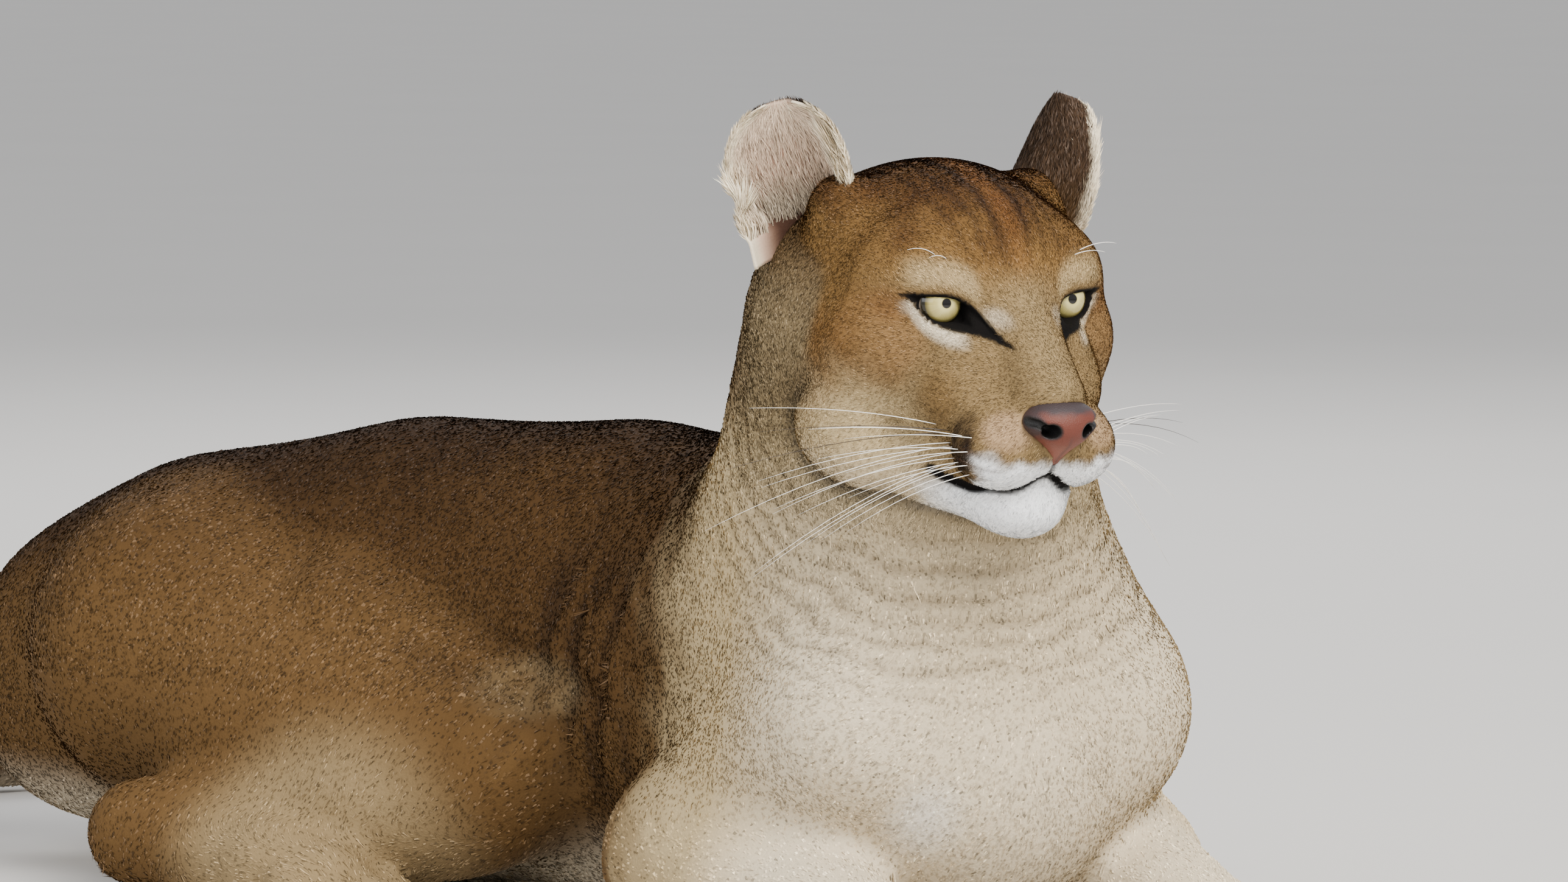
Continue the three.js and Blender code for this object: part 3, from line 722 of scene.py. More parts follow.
def head_markings(colour, h, g, n2, n3):
    """Lay the colours of the head over those of the body."""
    x, y, z = h[:, 0], np.abs(h[:, 1]), h[:, 2]
    half = np.stack([x, y, z], 1)
    head = smooth(5, -3, g["head"] - np.minimum(g["neck"], g["trunk"])) * smooth(-150, -110, x)
    stripes = []
    for centre, lean, width, depth in CROWN_STRIPES:
        stripe = np.exp(-((y - centre - lean * (z - 30) - 1.5 * n2) / width) ** 2)
        stripes.append((DARK, depth * stripe * smooth(8, 34, z) * smooth(34, -4, x)))
    lower = smooth(-56, -66, z + 0.35 * (x - 55) + 3 * n3)
    muzzle = lower * smooth(54, 66, x + 3 * n3 + 2.2 * np.maximum(-77 - z, 0))
    bar_patch = spot(half, (49, 42, -62), (13, 13, 21)) * smooth(-88, -76, z)
    roots = [np.exp(-((z + 56 + row * 7 + 0.12 * x) / 1.2) ** 2) for row in range(WHISKER_ROWS)]
    face = paint(
        solid(FACE, len(h)),
        (GREY_FACE, 0.6 * smooth(-40, 20, x) * smooth(30, 5, z)),
        (CROWN, 0.85 * smooth(12, 62, z + 8 * n2)),
        *stripes,
        (RUST * 1.05, 0.28 * np.exp(-(y / 6) ** 2) * smooth(10, 40, z)),
        (GREY_FACE * 1.08, 0.7 * np.exp(-(y / 17) ** 2) * smooth(0, 20, x) * smooth(30, 10, z)),
        (BUFF, 0.9 * smooth(-20, -62, z + 5 * n2) * smooth(35, -10, x)),
        (RUST, 0.28 * spot(half, (-6, 70, -16), (34, 34, 30))),
        (RUST, 0.25 * spot(half, (-54, 88, -38), (36, 30, 34))),
        (FACE * 0.8, 0.55 * spot(half, (24, 40, -40), (16, 18, 18))),
        (WHISKER_PAD, 0.7 * spot(half, (70, 28, -50), (16, 16, 12))),
        (WHITE, muzzle),
        (WHITE, smooth(-84, -92, z) * smooth(2, 24, x + 5 * n2)),
        (DARK, 0.95 * bar_patch * (0.85 + 0.25 * n3)),
        (WHISKER_SPOTS, 0.4 * np.max(roots, axis=0) * spot(half, (62, 38, -66), (16, 16, 14))),
        (CREAM, 0.55 * smooth(-70, -105, z) * smooth(30, 0, x)),
    )
    return mix(colour, face, head)


def eye_markings(colour, p):
    """Pale marks above, inside and below each eye, and rust at its outer corner."""
    for side in BOTH:
        ahead, y, z = eye_plane(p, side)
        near = smooth(-14, 2, ahead) * smooth(50, 34, np.hypot(y, z))
        _, upper, lower = lid_edges(y)
        above, under = z - upper, lower - z
        brow = smooth(2, 9, above) * smooth(24, 13, above) * smooth(-22, -12, y) * smooth(26, 12, y)
        below = smooth(1.5, 3.5, under) * smooth(12, 5.5, under) * smooth(-14, -2, y) * smooth(24, 14, y)
        inner = np.hypot((y + 25.5 + 0.9 * (z + 2.0)) / 8.5, (z + 2.0 - 0.5 * (y + 25.5)) / 6.0)
        outer = np.hypot((y - 25) / 11, (z + 1) / 9)
        colour = paint(
            colour,
            (BUFF, 0.5 * brow * near),
            (CREAM * 1.05, 0.9 * below * near),
            (CREAM, 0.45 * smooth(1.5, 0.1, inner) * near),
            (RUST * 0.8, 0.35 * smooth(1.3, 0.4, outer) * smooth(-30, -10, ahead)),
        )
    return colour


def dark_rims(p, colour):
    """Black lids, tear lines and lips."""
    for side in BOTH:
        ahead, y, z = eye_plane(p, side)
        y_in, z_in = y - LID_INNER[0] + 2, z - LID_INNER[1] + 0.8
        tear = np.hypot(y_in / 6.0, (z_in - 0.42 * y_in) / 2.0)
        outer = np.hypot((y - LID_OUTER[0] - 1.5) / 5.0, (z - LID_OUTER[1] - 0.3) / 1.6)
        colour = paint(
            colour,
            (BLACK, smooth(3.2, 1.4, lid_gap(p, side)) * smooth(2, 8, ahead)),
            (BLACK, 0.95 * smooth(1.2, 0.5, tear) * smooth(0, 8, ahead)),
            (BLACK, 0.9 * smooth(1.2, 0.5, outer) * smooth(-10, 0, ahead)),
        )
    lips = smooth(4.0, 2.2, distance_to_line(p, LIP_LINE)) * smooth(4, 12, in_head(p)[:, 0])
    groove = smooth(2.2, 1.0, distance_to_line(p, PHILTRUM))
    return paint(colour, (BLACK, lips), (BLACK, 0.85 * groove))


def fill(node, inputs, tree):
    """Set a node's inputs, or link them where a socket is given."""
    for name, value in inputs.items():
        if isinstance(value, bpy.types.NodeSocket):
            tree.links.new(value, node.inputs[name])
        else:
            node.inputs[name].default_value = value


def material(name, roughness, colour=None, bump=0.0, scale=500.0, specular=0.3, vary=0.12, coat=0.0):
    """A material with fine noise in a plain colour, or in the mesh's tint where no colour is given."""
    mat = bpy.data.materials.new(name)
    mat.use_nodes = True
    tree = mat.node_tree

    def node(kind, inputs):
        made = tree.nodes.new(f"ShaderNode{kind}")
        fill(made, inputs, tree)
        return made

    place = node("TexCoord", {})
    grain = node("TexNoise", {"Scale": scale, "Detail": 3, "Vector": place.outputs["Object"]}).outputs["Fac"]
    ramp = node("MapRange", {"To Min": 1 - vary, "To Max": 1 + vary, "Value": grain})
    if colour is None:
        tint = node("Attribute", {})
        tint.attribute_name = "tint"
        colour = tint.outputs["Color"]
    scaled = node("VectorMath", {0: colour})
    scaled.operation = "SCALE"
    fill(scaled, {"Scale": ramp.outputs["Result"]}, tree)
    looks = {"Roughness": roughness, "Specular IOR Level": specular, "Coat Weight": coat,
             "Coat Roughness": 0.06, "Base Color": scaled.outputs["Vector"]}
    if bump:
        relief = node("Bump", {"Strength": bump, "Distance": 0.0006, "Height": grain})
        looks["Normal"] = relief.outputs["Normal"]
    fill(tree.nodes["Principled BSDF"], looks, tree)
    return mat


SKIN = material("skin_fur", 0.9, bump=0.7, scale=700, specular=0.08)
COAT = material("coat_hair", 0.7, vary=0.1, scale=300, specular=0.1)
EYE = material("eye_wet", 0.14, vary=0.05, scale=900, specular=0.3, coat=0.3)
NOSE_LEATHER = material("nose_leather", 0.5, bump=0.6, scale=1500, specular=0.3)
EAR_SKIN = material("ear_skin", 0.8, bump=0.4, scale=700, specular=0.2)
WHISKER = material("whisker", 0.35, (0.85, 0.82, 0.76), vary=0.05, specular=0.5)
DARK_WHISKER = material("dark_whisker", 0.4, (0.03, 0.02, 0.015), vary=0.05, specular=0.5)
FLOOR = material("floor", 0.9, (0.62, 0.60, 0.57), vary=0.02, scale=3, specular=0.1)


# The box of the head's fine mesh and that of the body's, and the solids that the skin replaces
HEAD_LOW, HEAD_HIGH = np.array([290.0, -250, 235]), np.array([550.0, 20, 475])
BODY_LOW, BODY_HIGH = np.array([-650.0, -320, -12]), np.array([650.0, 290, 470])
SEAM_OVERLAP = 8
SKIN_SHADE = 0.86
FLESH = ["head", "neck", "chest", "hindquarters", "tail_base", "tail_middle", "tail_tip"] + [
    f"{part}_{word}" for part in ("foreleg", "forepaw", "thigh", "shank", "hindpaw") for word, _ in SIDES]


def in_face(p):
    """Positive in front of the line where the fine mesh of the head takes over."""
    h = in_head(p)
    return np.minimum.reduce([h[:, 0] + 118, 150 - np.abs(h[:, 1]), h[:, 2] + 122])


def make_skin():
    """Mesh the body coarsely and the head finely, and let them overlap along a line round the neck."""
    coarse, fine = ((5.5, 1.9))
    meshes = []
    for low, high, cell in ((BODY_LOW, BODY_HIGH, coarse), (HEAD_LOW, HEAD_HIGH, fine)):
        points, faces = mesh_field(skin_field, low, high, cell)
        meshes.append((settle(skin_field, points, 0.4 * cell), faces))
    (body, body_faces), (head, head_faces) = meshes
    inside_grid = ((head > HEAD_LOW + 3 * fine) & (head < HEAD_HIGH - 3 * fine)).all(axis=1)
    points, faces = join([
        keep_faces(body, body_faces, in_face(body) < SEAM_OVERLAP),
        keep_faces(head, head_faces, (in_face(head) > 0) & inside_grid),
    ])
    tint = dark_rims(points, markings(points, body_groups(points)) * SKIN_SHADE)
    skin = add_mesh("skin", points, faces, SKIN, tint)
    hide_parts(*FLESH)
    return points, faces


def grid_faces(rows, columns, closed):
    """Triangles between rows of points, each row joined end to end where closed."""
    index = np.arange(rows * columns).reshape(rows, columns)
    if closed:
        index = np.c_[index, index[:, 0]]
    a, b, c, d = index[:-1, :-1], index[1:, :-1], index[1:, 1:], index[:-1, 1:]
    return np.vstack([np.stack(corners, -1).reshape(-1, 3) for corners in ((a, b, c), (a, c, d))])


def ball_mesh(rings, around):
    """Unit ball with its pole along +X, dense near the pole."""
    tilt = (math.pi * np.linspace(0, 1, rings + 1) ** 1.5)[1:-1, None]
    angle = np.linspace(0, 2 * math.pi, around, endpoint=False)
    wide = np.sin(tilt)
    rings_of_points = np.stack([np.cos(tilt) + 0 * angle, wide * np.cos(angle), wide * np.sin(angle)], -1)
    points = np.vstack([[(1, 0, 0)], rings_of_points.reshape(-1, 3), [(-1, 0, 0)]])
    last = len(points) - 1
    here = np.arange(around)
    after = (here + 1) % around
    first, end = np.zeros(around, int), np.full(around, last)
    faces = [
        np.stack([first, 1 + here, 1 + after], 1),
        grid_faces(rings - 1, around, True) + 1,
        np.stack([last - around + here, end, last - around + after], 1),
    ]
    return points, np.vstack(faces)


# Turn of each eye towards the camera, and its lift
GAZE = {RIGHT: 7, LEFT: -12}
GAZE_LIFT = -11


def eye_tint(unit):
    """Pale iris with fine streaks, a dark edge and a small pupil, shaded by the upper lid."""
    angle = np.degrees(np.arccos(np.clip(unit[:, 0], -1, 1)))
    around = np.arctan2(unit[:, 2], unit[:, 1])
    streak = 0.5 + 0.5 * np.sin(around * 37 + 2 * np.sin(around * 11)) * np.sin(around * 23 + 1)
    iris = paint(
        solid(srgb(170, 158, 96), len(unit)),
        (srgb(204, 192, 130), 0.6 * smooth(40, 14, angle)),
        (srgb(120, 104, 52), 0.5 * streak * smooth(14, 22, angle)),
        (srgb(84, 74, 36), 0.85 * smooth(34, 44, angle)),
        (BLACK, 0.92 * smooth(44, 48, angle)),
    )
    shaded = iris * (1 - 0.45 * smooth(0.1, 0.65, unit[:, 2]))[:, None]
    eye_white = srgb(190, 170, 150) * 0.5
    return paint(shaded, (eye_white, smooth(56, 64, angle)), (BLACK, smooth(11.5, 9.5, angle)))


def make_eyes():
    unit, faces = ball_mesh(70, 96)
    bulge = 1 + 0.05 * smooth(50, 20, np.degrees(np.arccos(np.clip(unit[:, 0], -1, 1))))
    ball_points = unit * (EYE_RADIUS * bulge)[:, None]
    for word, side in SIDES:
        basis = eye_basis(side) @ turn(GAZE[side], GAZE_LIFT)
        points = eye_centre(side) + ball_points @ basis.T
        eye = add_mesh(f"eye_{word}_ball", points, faces, EYE, eye_tint(unit))
        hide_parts(f"eye_{word}")


def make_nose():
    middle = on_head(74, 0, -47)
    points, faces = mesh_field(nose_field, middle - 34, middle + 34, 0.9)
    points = settle(nose_field, points, 0.5)
    _, y, z = in_head(points).T
    mottle = wave_noise(points, 7, 61)
    tint = paint(
        solid(PINK, len(points)),
        (srgb(120, 70, 58), smooth(-49, -61, z)),
        (srgb(46, 40, 42), 0.95 * smooth(-40, -36, z + 0.6 * mottle)),
        (srgb(46, 36, 36), 0.9 * smooth(13, 17, np.abs(y) + mottle)),
        (srgb(70, 44, 40), 0.7 * np.exp(-y ** 2) * smooth(-47, -53, z)),
        # painted shade: black in the carved nostril holes and slits
        (BLACK, smooth(2.0, 0.2, nostril_field(points))),
    )
    nose = add_mesh("nose_leather_pad", points, faces, NOSE_LEATHER, tint)
    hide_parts("nose")


def ear_frame(word, side):
    back, out, lean, turned = EAR_STANCE[word]
    return on_head(back, side * out, 22), HEAD_TURN @ turn(0, -7, -side * lean) @ turn(side * turned)


def ear_point(u, v, inner, side):
    """A point of the ear in its own frame: u is 1 at the outer margin, and v runs from root to tip."""
    up = np.maximum(v, 0)
    low = 0.74 + 0.26 * np.sin(np.clip(v / 0.38, 0, 1) * math.pi / 2)
    top = np.sqrt(np.maximum(1 - (np.maximum(v - 0.38, 0) / 0.62) ** 2.6, 0.0))
    width = (EAR_HALF_WIDTH - EAR_INSET) * np.where(v < 0.38, low, top)
    angle = u * (1.75 - 0.5 * up)
    wall = np.where(inner, EAR_WALL * (1.0 - 0.6 * up) * (1 - 0.6 * u * u), 0.0)
    depth = EAR_CUP_DEPTH * (1.3 - 0.7 * up) - wall - EAR_INSET
    pocket = np.exp(-(((u - 0.93) / 0.12) ** 2 + ((v - 0.30) / 0.09) ** 2))
    half = width - wall * 0.8 - EAR_POCKET * pocket
    return np.stack([
        -10 * up ** 2 - depth * np.cos(angle),
        side * half * np.sin(angle),
        v * (EAR_LENGTH - EAR_INSET) - wall * up * 0.8,
    ], -1)


def make_ears():
    rows, columns = 41, 49
    v, u = np.meshgrid(np.linspace(-0.2, 0.985, rows), np.linspace(-1, 1, columns), indexing="ij")
    u, v = u.ravel(), v.ravel()
    n = len(u)
    outer = grid_faces(rows, columns, False)
    index = np.arange(n).reshape(rows, columns)
    rim = np.concatenate([index[:, 0], index[-1, 1:], index[::-1, -1][1:], index[0, ::-1][1:]])
    r0, r1 = rim[:-1], rim[1:]
    edge = np.vstack([np.stack([r0, r0 + n, r1 + n], -1), np.stack([r0, r1 + n, r1], -1)])
    faces = np.vstack([outer, outer[:, ::-1] + n, edge])
    tint = ear_tint(np.tile(u, 2), np.tile(v, 2), np.repeat([False, True], n))
    for word, side in SIDES:
        at, basis = ear_frame(word, side)
        points = at + np.vstack([ear_point(u, v, inner, side) for inner in (False, True)]) @ basis.T
        outward = faces if side == LEFT else faces[:, ::-1]
        ear = add_mesh(f"ear_{word}_shell", points, outward, EAR_SKIN, tint)
        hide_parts(f"ear_{word}")


def ear_tint(u, v, inner):
    """Dark back with a pale margin; pale inside with a pink cup and painted shade in the hollow at the root.
    """
    outside = paint(
        solid(srgb(56, 41, 28), len(u)),
        (srgb(90, 68, 44), 0.7 * smooth(0.35, 0.0, v)),
        (CREAM, 0.95 * smooth(0.80, 0.95, np.abs(u))),
    )
    inside = paint(
        solid(srgb(196, 168, 146), len(u)),
        (srgb(146, 106, 86), 0.7 * smooth(0.8, 0.25, np.abs(u - 0.12)) * smooth(0.85, 0.5, v)),
        # painted shade in the hollow at the root of the ear's cup
        (srgb(62, 40, 29), smooth(0.42, 0.1, v) * smooth(0.75, 0.3, np.abs(u - 0.1))),
        (CREAM, smooth(0.75, 0.95, np.abs(u))),
    )
    return np.where(inner[:, None], inside, outside)


def one_way(start, end, count):
    """The same direction for a number of points."""
    return solid((end - start) / np.linalg.norm(end - start), count)


def lay_of_hair(p, groups):
    """Which way the hair lies: from the nose back, down the neck, along the trunk and down the limbs."""
    n = len(p)
    s, _ = spine_place(p)
    heading = np.radians(np.interp(s, SPINE[:, 0], SPINE[:, 3]))
    _, at = nearest_on_line(p, TAIL_LINE)
    step = np.clip((at * TAIL_STEPS).astype(int), 0, TAIL_STEPS - 1)
    lays = {
        "trunk": np.stack([-np.cos(heading), -np.sin(heading), np.full(n, -0.30)], 1),
        "head": to_unit(p - on_head(92, 0, -22)),
        "neck": one_way(on_head(-60, 0, 0), beside(120, 0, 120), n),
        "tail": to_unit(TAIL_LINE[step + 1] - TAIL_LINE[step]),
    }
    low = (smooth(70, 45, p[:, 2]) * smooth(600, 560, s))[:, None]
    for side, mark in ((RIGHT, "r"), (LEFT, "l")):
        lays[f"fore_{mark}"] = one_way(beside(188, side * 108, 55), beside(-62, side * 92, 20), n)
        thigh = one_way(beside(520, side * 60, 160), beside(640, side * 150, 20), n)
        shin = one_way(beside(650, side * 168, 42), beside(505, side * 196, 20), n)
        lays[f"hind_{mark}"] = thigh * (1 - low) + shin * low
    nearest = np.minimum.reduce(list(groups.values()))
    total = np.zeros_like(p)
    for name, lay in lays.items():
        total += lay * np.exp(-np.clip((groups[name] - nearest) / 9.0, 0, 30))[:, None]
    return total


def hair_length(p):
    """Short on the face and the paws, a little longer on the belly."""
    from_face = norms((in_head(p) - (30, 0, -25)) / (100, 95, 90))
    length = (3.6 + 10.0 * smooth(0.45, 1.8, from_face)) * left_at_paws(p, 60, 170, 0.5)
    return length * (1 + 0.15 * smooth(60, 10, p[:, 2]))


def scatter(points, faces, weight, count, rng):
    """Random places on the skin, as the corners of a triangle and the share that each has in the place."""
    a, b, c = (points[faces[:, n]] for n in range(3))
    area = norms(np.cross(b - a, c - a)) * weight
    total = np.cumsum(area)
    pick = np.searchsorted(total, rng.random(count) * total[-1])
    r1, r2 = np.sqrt(rng.random(count)), rng.random(count)
    return faces[pick], np.stack([1 - r1, r1 * (1 - r2), r1 * r2], 1)[..., None]


# The shares of dark and pale hairs, and how far the hairs roll about their length, in radians
DARK_HAIRS, PALE_HAIRS = 0.2, 0.2
HAIR_ROLL = 0.38


def blades(roots, normals, lay, length, rise, width, tint, rng):
    """Tapered hairs of three triangles, lying along the skin and darkest at the root."""
    n = len(roots)
    along = to_unit(lay - (lay * normals).sum(1)[:, None] * normals)
    across = np.cross(normals, along)
    swing = rng.normal(0, 0.16, n) + 0.22 * wave_noise(roots, 34, 11) + 0.12 * wave_noise(roots, 12, 12)
    along = along * np.cos(swing)[:, None] + across * np.sin(swing)[:, None]
    roll = rng.normal(0, HAIR_ROLL, n)[:, None]
    across = np.cross(normals, along) * np.cos(roll) + normals * np.sin(roll)
    length = (length * rng.uniform(0.75, 1.2, n))[:, None]
    rise = (rise * rng.uniform(0.55, 1.1, n))[:, None]
    foot = roots - normals * 0.5
    middle = foot + along * length * 0.45 + normals * rise * 0.7
    tip = foot + along * length + normals * (rise + 0.3)
    half = across * (width * rng.uniform(0.7, 1.3, n) / 2)[:, None]
    points = np.stack([foot - half, foot + half, middle + half * 0.8, middle - half * 0.8, tip], 1)
    faces = np.arange(n)[:, None, None] * 5 + np.array([[0, 2, 1], [0, 3, 2], [3, 4, 2]])
    tone = tint * rng.uniform(0.78, 1.24, n)[:, None] * (1 + 0.05 * wave_noise(roots, 18, 21))[:, None]
    grizzle = rng.random(n)[:, None]
    pale_coat = smooth(0.16, 0.42, tint.mean(axis=1))[:, None]
    tone = np.where(grizzle < DARK_HAIRS * (1 - 0.75 * pale_coat), tone * 0.5, tone)
    tone = np.where(grizzle > 1 - PALE_HAIRS * (1 - 0.5 * pale_coat), tone * 1.5 + 0.02, tone)
    colours = np.stack([tone * 0.86, tone * 0.86, tone, tone, tone * 1.08], 1)
    return points.reshape(-1, 3), faces.reshape(-1, 3), np.clip(colours.reshape(-1, 3), 0, 1)


UV_MARGIN, UV_PATCH = 0.004, 0.0015


def patch_uv(roots, axis_from, axis_to):
    """A small patch for each hair at its root's place, unwrapped round an axis of the body."""
    axis = (axis_to - axis_from) / np.linalg.norm(axis_to - axis_from)
    aside = np.cross(axis, (0.13, 0.21, 0.97))
    aside /= np.linalg.norm(aside)
    q = roots - axis_from
    u = (np.arctan2(q @ np.cross(axis, aside), q @ aside) / (2 * math.pi)) % 1.0
    v = q @ axis
    v = (v - v.min()) / max(v.max() - v.min(), 1e-6)
    centre = UV_MARGIN + (1 - 2 * UV_MARGIN) * np.stack([u, v], 1)
    corners = np.array([(-1, -1), (1, -1), (1, 0.4), (-1, 0.4), (0, 1)]) * UV_PATCH
    return (centre[:, None] + corners).reshape(-1, 2)


def hairy(p):
    """False on the lids, lips and nose, and true on the rest of the skin."""
    grows = np.ones(len(p), bool)
    near = near_head(p)
    q = p[near]
    bare = (distance_to_line(q, LIP_LINE) < 3.0) | (NOSE(q) < 1.2) | (nostril_field(q) < 1.5)
    for side in BOTH:
        bare |= (lid_gap(q, side) < 2.0) | (norms(q - eye_centre(side)) < EYE_RADIUS + 1.0)
    grows[near] = ~bare
    return grows


LOWEST_HAIR = 0.4


def coat_regions(centre):
    """Each piece of the coat: its part of the skin, number of hairs, axis to unwrap it and hair width."""
    h = in_head(centre)
    s, _ = spine_place(centre)
    groups = body_groups(centre)
    head = (h[:, 0] > -125) & (h[:, 2] > -125) & (np.abs(h[:, 1]) < 150)
    tail = (groups["tail"] < 15) & (centre[:, 0] < -400)
    limbs = (nearest_limb(groups) < 12) & (centre[:, 2] < 130) & ~head & ~tail
    rest = ~(head | tail | limbs)
    face = head & (h[:, 0] > -28)
    back = rest & (s >= 260) & (s < 520)
    head_axis = (on_head(80, 0, -40), on_head(-100, 0, -10))
    return (
        ("coat_face", face, 66000, head_axis, 0.7),
        ("coat_crown", head & ~face, 60000, head_axis, 0.95),
        ("coat_neck", rest & (s < 260), 66000, (beside(60, 0, 60), on_head(-60, 0, 0)), 1.3),
        ("coat_back", back, 66000, (beside(150, 0, 140), beside(600, 0, 140)), 1.4),
        ("coat_rump", rest & (s >= 520), 66000, (beside(450, 0, 130), beside(900, 0, 110)), 1.4),
        ("coat_limbs", limbs, 66000, (beside(-150, 0, 40), beside(700, 0, 40)), 1.4),
        ("coat_tail", tail, 24000, (TAIL_LINE[0], TAIL_LINE[12]), 1.6),
    )


def make_coat(points, faces):
    normals = vertex_normals(points, faces)
    centre = points[faces].mean(axis=1)
    for name, mask, count, axis, width in coat_regions(centre):
        above_floor = centre[mask][:, 2] > 1.5
        weight = above_floor / (0.55 + hair_length(centre[mask]) / 18)
        picked, share = scatter(points, faces[mask], weight, count, RNG)
        roots = (points[picked] * share).sum(1)
        normal = to_unit((normals[picked] * share).sum(1))
        keep = hairy(roots)
        roots, normal = roots[keep], normal[keep]
        g = body_groups(roots)
        tint = markings(roots, g)
        if name == "coat_face":
            tint = dark_rims(roots, tint)
        length = hair_length(roots)
        rise = np.minimum(coat_depth(roots) * 0.98, length * 0.42)
        width = width * np.clip(length / 15, 0.5, 1.2)
        p, f, colour = blades(roots, normal, lay_of_hair(roots, g), length, rise, width, tint, RNG)
        p[:, 2] = np.maximum(p[:, 2], LOWEST_HAIR)
        piece = add_mesh(name, p, f, COAT, colour, patch_uv(roots, *axis), smooth_shade=False)


# Number of hairs, range across and up the ear, whether inside, length, width, rise and paleness
EAR_HAIRS = {
    "back": (9000, (-1, 1), (0.02, 0.92), False, 6.0, 1.0, 1.5, 0.0),
    "rim": (5200, (-1, 1), (0.05, 0.94), True, 8.0, 0.8, 2.4, 0.65),
    "inside": (5200, (-0.85, 0.85), (0.03, 0.9), True, 9.0, 0.6, 2.6, 0.4),
    "front": (1800, (-1.0, -0.8), (0.02, 0.62), True, 20.0, 0.7, 10.0, 0.65),
    "pocket": (900, (0.6, 1.0), (0.0, 0.45), True, 14.0, 0.8, 5.0, 0.65),
}


def ear_hair(kind, side, rng):
    """The roots and the blades of one kind of hair, in the ear's own frame."""
    count, across, up, inner, length, width, rise, paleness = EAR_HAIRS[kind]
    u = rng.uniform(*across, count)
    v = rng.uniform(*up, count)
    if kind == "rim":
        u = np.sign(u) * (1 - 0.28 * rng.random(count) ** 1.5)
    e = 0.01
    roots = ear_point(u, v, inner, side)
    du = ear_point(u + e, v, inner, side) - ear_point(u - e, v, inner, side)
    dv = ear_point(u, v + e, inner, side) - ear_point(u, v - e, inner, side)
    normal = to_unit(np.cross(dv, du) * (-side if inner else side))
    lay = to_unit(dv)
    if kind == "front":
        lay = lay * 0.9 - to_unit(du) * np.sign(u)[:, None] * 0.28
    tint = mix(ear_tint(u, v, np.full(count, inner)), CREAM, np.full(count, paleness))
    return roots, blades(roots, normal, lay, length, rise, width, tint, rng)


def make_ear_hair():
    for word, side in SIDES:
        at, basis = ear_frame(word, side)
        rng = np.random.default_rng(31 + side)
        roots, parts, tints = [], [], []
        for kind in EAR_HAIRS:
            root, (points, faces, tint) = ear_hair(kind, side, rng)
            roots.append(root)
            parts.append((at + points @ basis.T, faces))
            tints.append(tint)
        uv = patch_uv(np.vstack(roots), np.array([0.0, 0, -20]), np.array([0.0, 0, 90]))
        piece = add_mesh(f"coat_ear_{word}", *join(parts), COAT, np.vstack(tints), uv, smooth_shade=False)


def tube(points, radii, sides=5):
    """A closed tube of rings along a line of points."""
    angle = np.linspace(0, 2 * math.pi, sides, endpoint=False)[:, None]
    count = len(points)
    rings = []
    for i, (point, radius) in enumerate(zip(points, radii)):
        along = points[min(i + 1, count - 1)] - points[max(i - 1, 0)]
        along = along / np.linalg.norm(along)
        across = np.cross(along, (0.1, 0.2, 1.0))
        across /= np.linalg.norm(across)
        rings.append(point + radius * (np.cos(angle) * across + np.sin(angle) * np.cross(along, across)))
    last = (count - 1) * sides
    caps = [(0, n + 1, n) for n in range(1, sides - 1)]
    caps += [(last, last + n, last + n + 1) for n in range(1, sides - 1)]
    return np.vstack(rings), np.vstack([grid_faces(count, sides, True)[:, ::-1], caps])


# Greatest radius, depth of the root, and the row and place in it of the dark ones
WHISKER_RADIUS = 0.2
WHISKER_ROOT = -2.0
DARK_PLACES = ((0, 3), (1, 4))


def whisker(root, out, length, droop, side):
    """A tapered hair that bends down and back from its root on the skin."""
    mirror = np.array([1, side, 1])
    start = onto_outline(on_head(*(np.array(root) * mirror))[None], WHISKER_ROOT)[0]
    out = HEAD_TURN @ (np.array(out) / np.linalg.norm(out) * mirror)
    t = np.linspace(0, 1, 9)[:, None]
    bend = np.array([0, 0, droop]) + HEAD_TURN @ np.array([-0.16, 0, 0])
    path = start + out * length * t + bend * length * t ** 2
    return tube(path, WHISKER_RADIUS * (1 - t[:, 0]) ** 0.7 + 0.05)


def make_whiskers():
    rng = np.random.default_rng(5)
    pale, dark = [], []
    for side in BOTH:
        for row in range(WHISKER_ROWS):
            for n in range(5):
                root = (58 - n * 7.5 - row, 40 + n * 2.2, -56 - row * 7 - n * 0.6)
                length = (58 + n * 13) * rng.uniform(0.85, 1.15)
                out = (-0.62 + 0.05 * n, 1.0, 0.10 - 0.16 * row + rng.normal(0, 0.05))
                hairs = dark if (row, n) in DARK_PLACES else pale
                hairs.append(whisker(root, out, length, -0.16 - 0.05 * row, side))
        for n in range(2):
            root = (4 - n * 4, 36 + n * 4, 24)
            pale.append(whisker(root, (0.5 - 0.2 * n, 0.75, 0.5), 20 + 5 * n, -0.35, side))
    for name, hairs, looks in (("whiskers_pale", pale, WHISKER), ("whiskers_dark", dark, DARK_WHISKER)):
        piece = add_mesh(name, *join(hairs), looks)


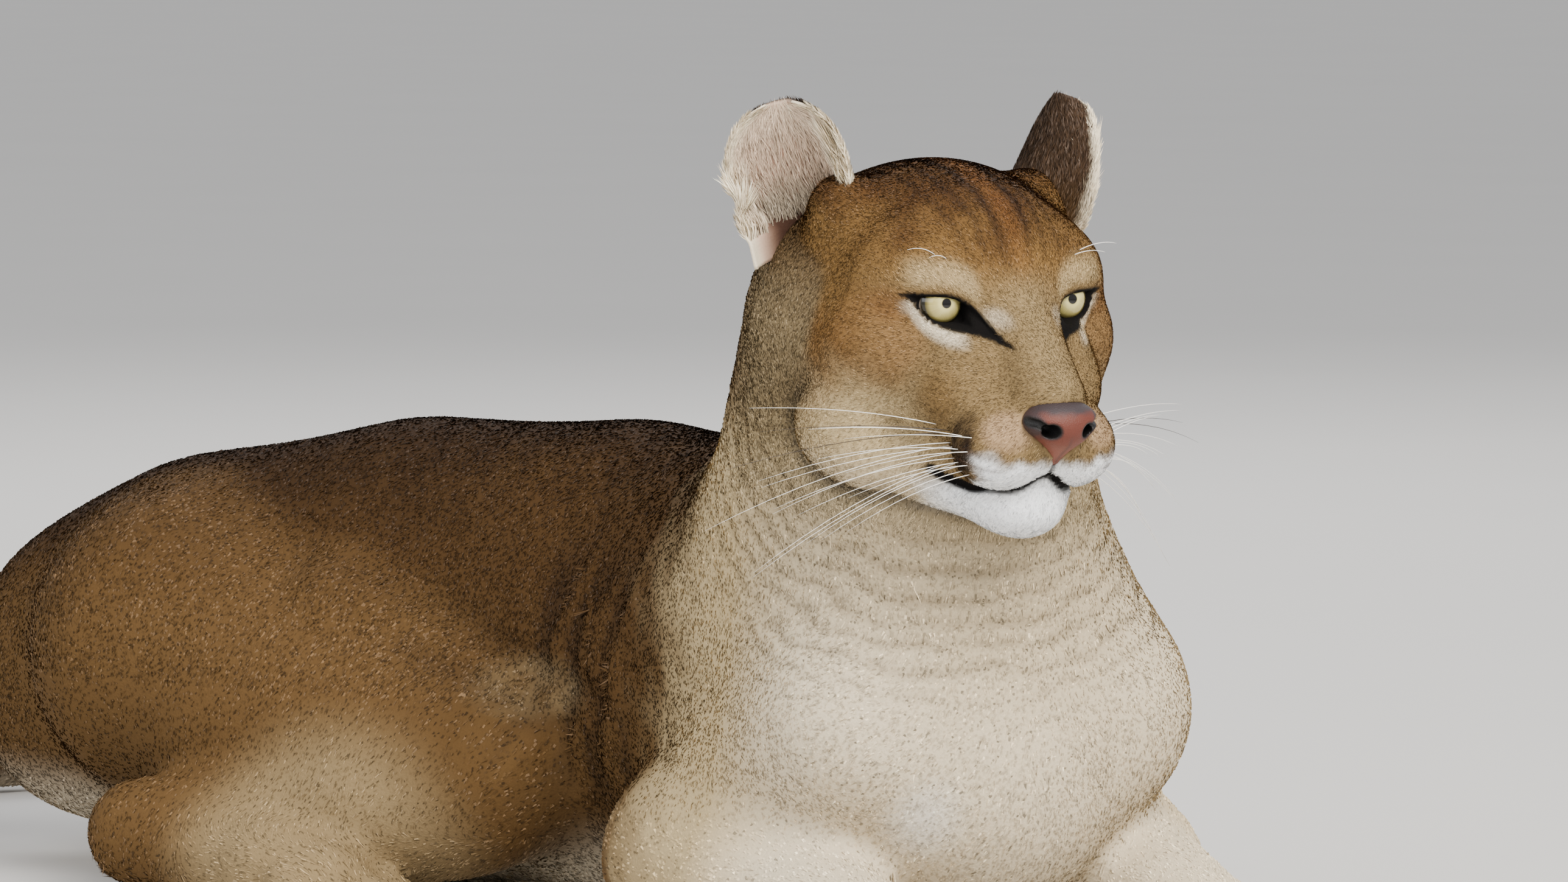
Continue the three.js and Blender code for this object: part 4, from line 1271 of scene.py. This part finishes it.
CAMERA_AT = (3.0359, -3.1909, 0.6516)
CAMERA_TARGET = (0.3695, -0.2296, 0.303)
CAMERA_LENS = 174.4
CAMERA_SENSOR = 36
FLOOR_HALF = 30.0
# Name, place, target, size, power and colour of each light
LIGHTS = (
    ("key", (2.6, -0.9, 2.3), (0.2, -0.1, 0.2), 1.6, 215, (1.0, 0.97, 0.92)),
    ("fill", (0.2, -3.2, 1.8), (0.1, 0, 0.2), 2.4, 76, (0.95, 0.97, 1.0)),
    ("rim", (-1.8, 2.2, 2.4), (0, 0, 0.3), 1.8, 60, (1, 1, 1)),
)


def aim(thing, at, target):
    """Put a light or the camera in its place, pointed at its target."""
    thing.location = at
    thing.rotation_euler = (Vector(target) - Vector(at)).to_track_quat("-Z", "Y").to_euler()
    bpy.context.scene.collection.objects.link(thing)


def make_stage():
    scene = bpy.context.scene
    floor_mesh = bpy.data.meshes.new("floor")
    corners = [(x * FLOOR_HALF, y * FLOOR_HALF, 0) for x, y in ((-1, -1), (1, -1), (1, 1), (-1, 1))]
    floor_mesh.from_pydata(corners, [], [(0, 1, 2, 3)])
    floor_mesh.materials.append(FLOOR)
    ground = bpy.data.objects.new("floor", floor_mesh)
    scene.collection.objects.link(ground)
    for name, at, target, size, power, colour in LIGHTS:
        data = bpy.data.lights.new(name, "AREA")
        data.size, data.energy, data.color = size, power, colour
        aim(bpy.data.objects.new(name, data), at, target)
    world = bpy.data.worlds.new("studio")
    world.use_nodes = True
    tree = world.node_tree
    fill(tree.nodes["Background"], {"Color": (0.86, 0.88, 0.92, 1), "Strength": 0.95}, tree)
    scene.world = world
    camera_data = bpy.data.cameras.new("camera")
    camera_data.lens = CAMERA_LENS
    camera_data.sensor_width = CAMERA_SENSOR
    camera_data.sensor_fit = "HORIZONTAL"
    scene.camera = bpy.data.objects.new("camera", camera_data)
    aim(scene.camera, CAMERA_AT, CAMERA_TARGET)


make_stage()
SKIN_POINTS, SKIN_FACES = make_skin()
make_eyes()
make_nose()
make_ears()
make_coat(SKIN_POINTS, SKIN_FACES)
make_ear_hair()
make_whiskers()
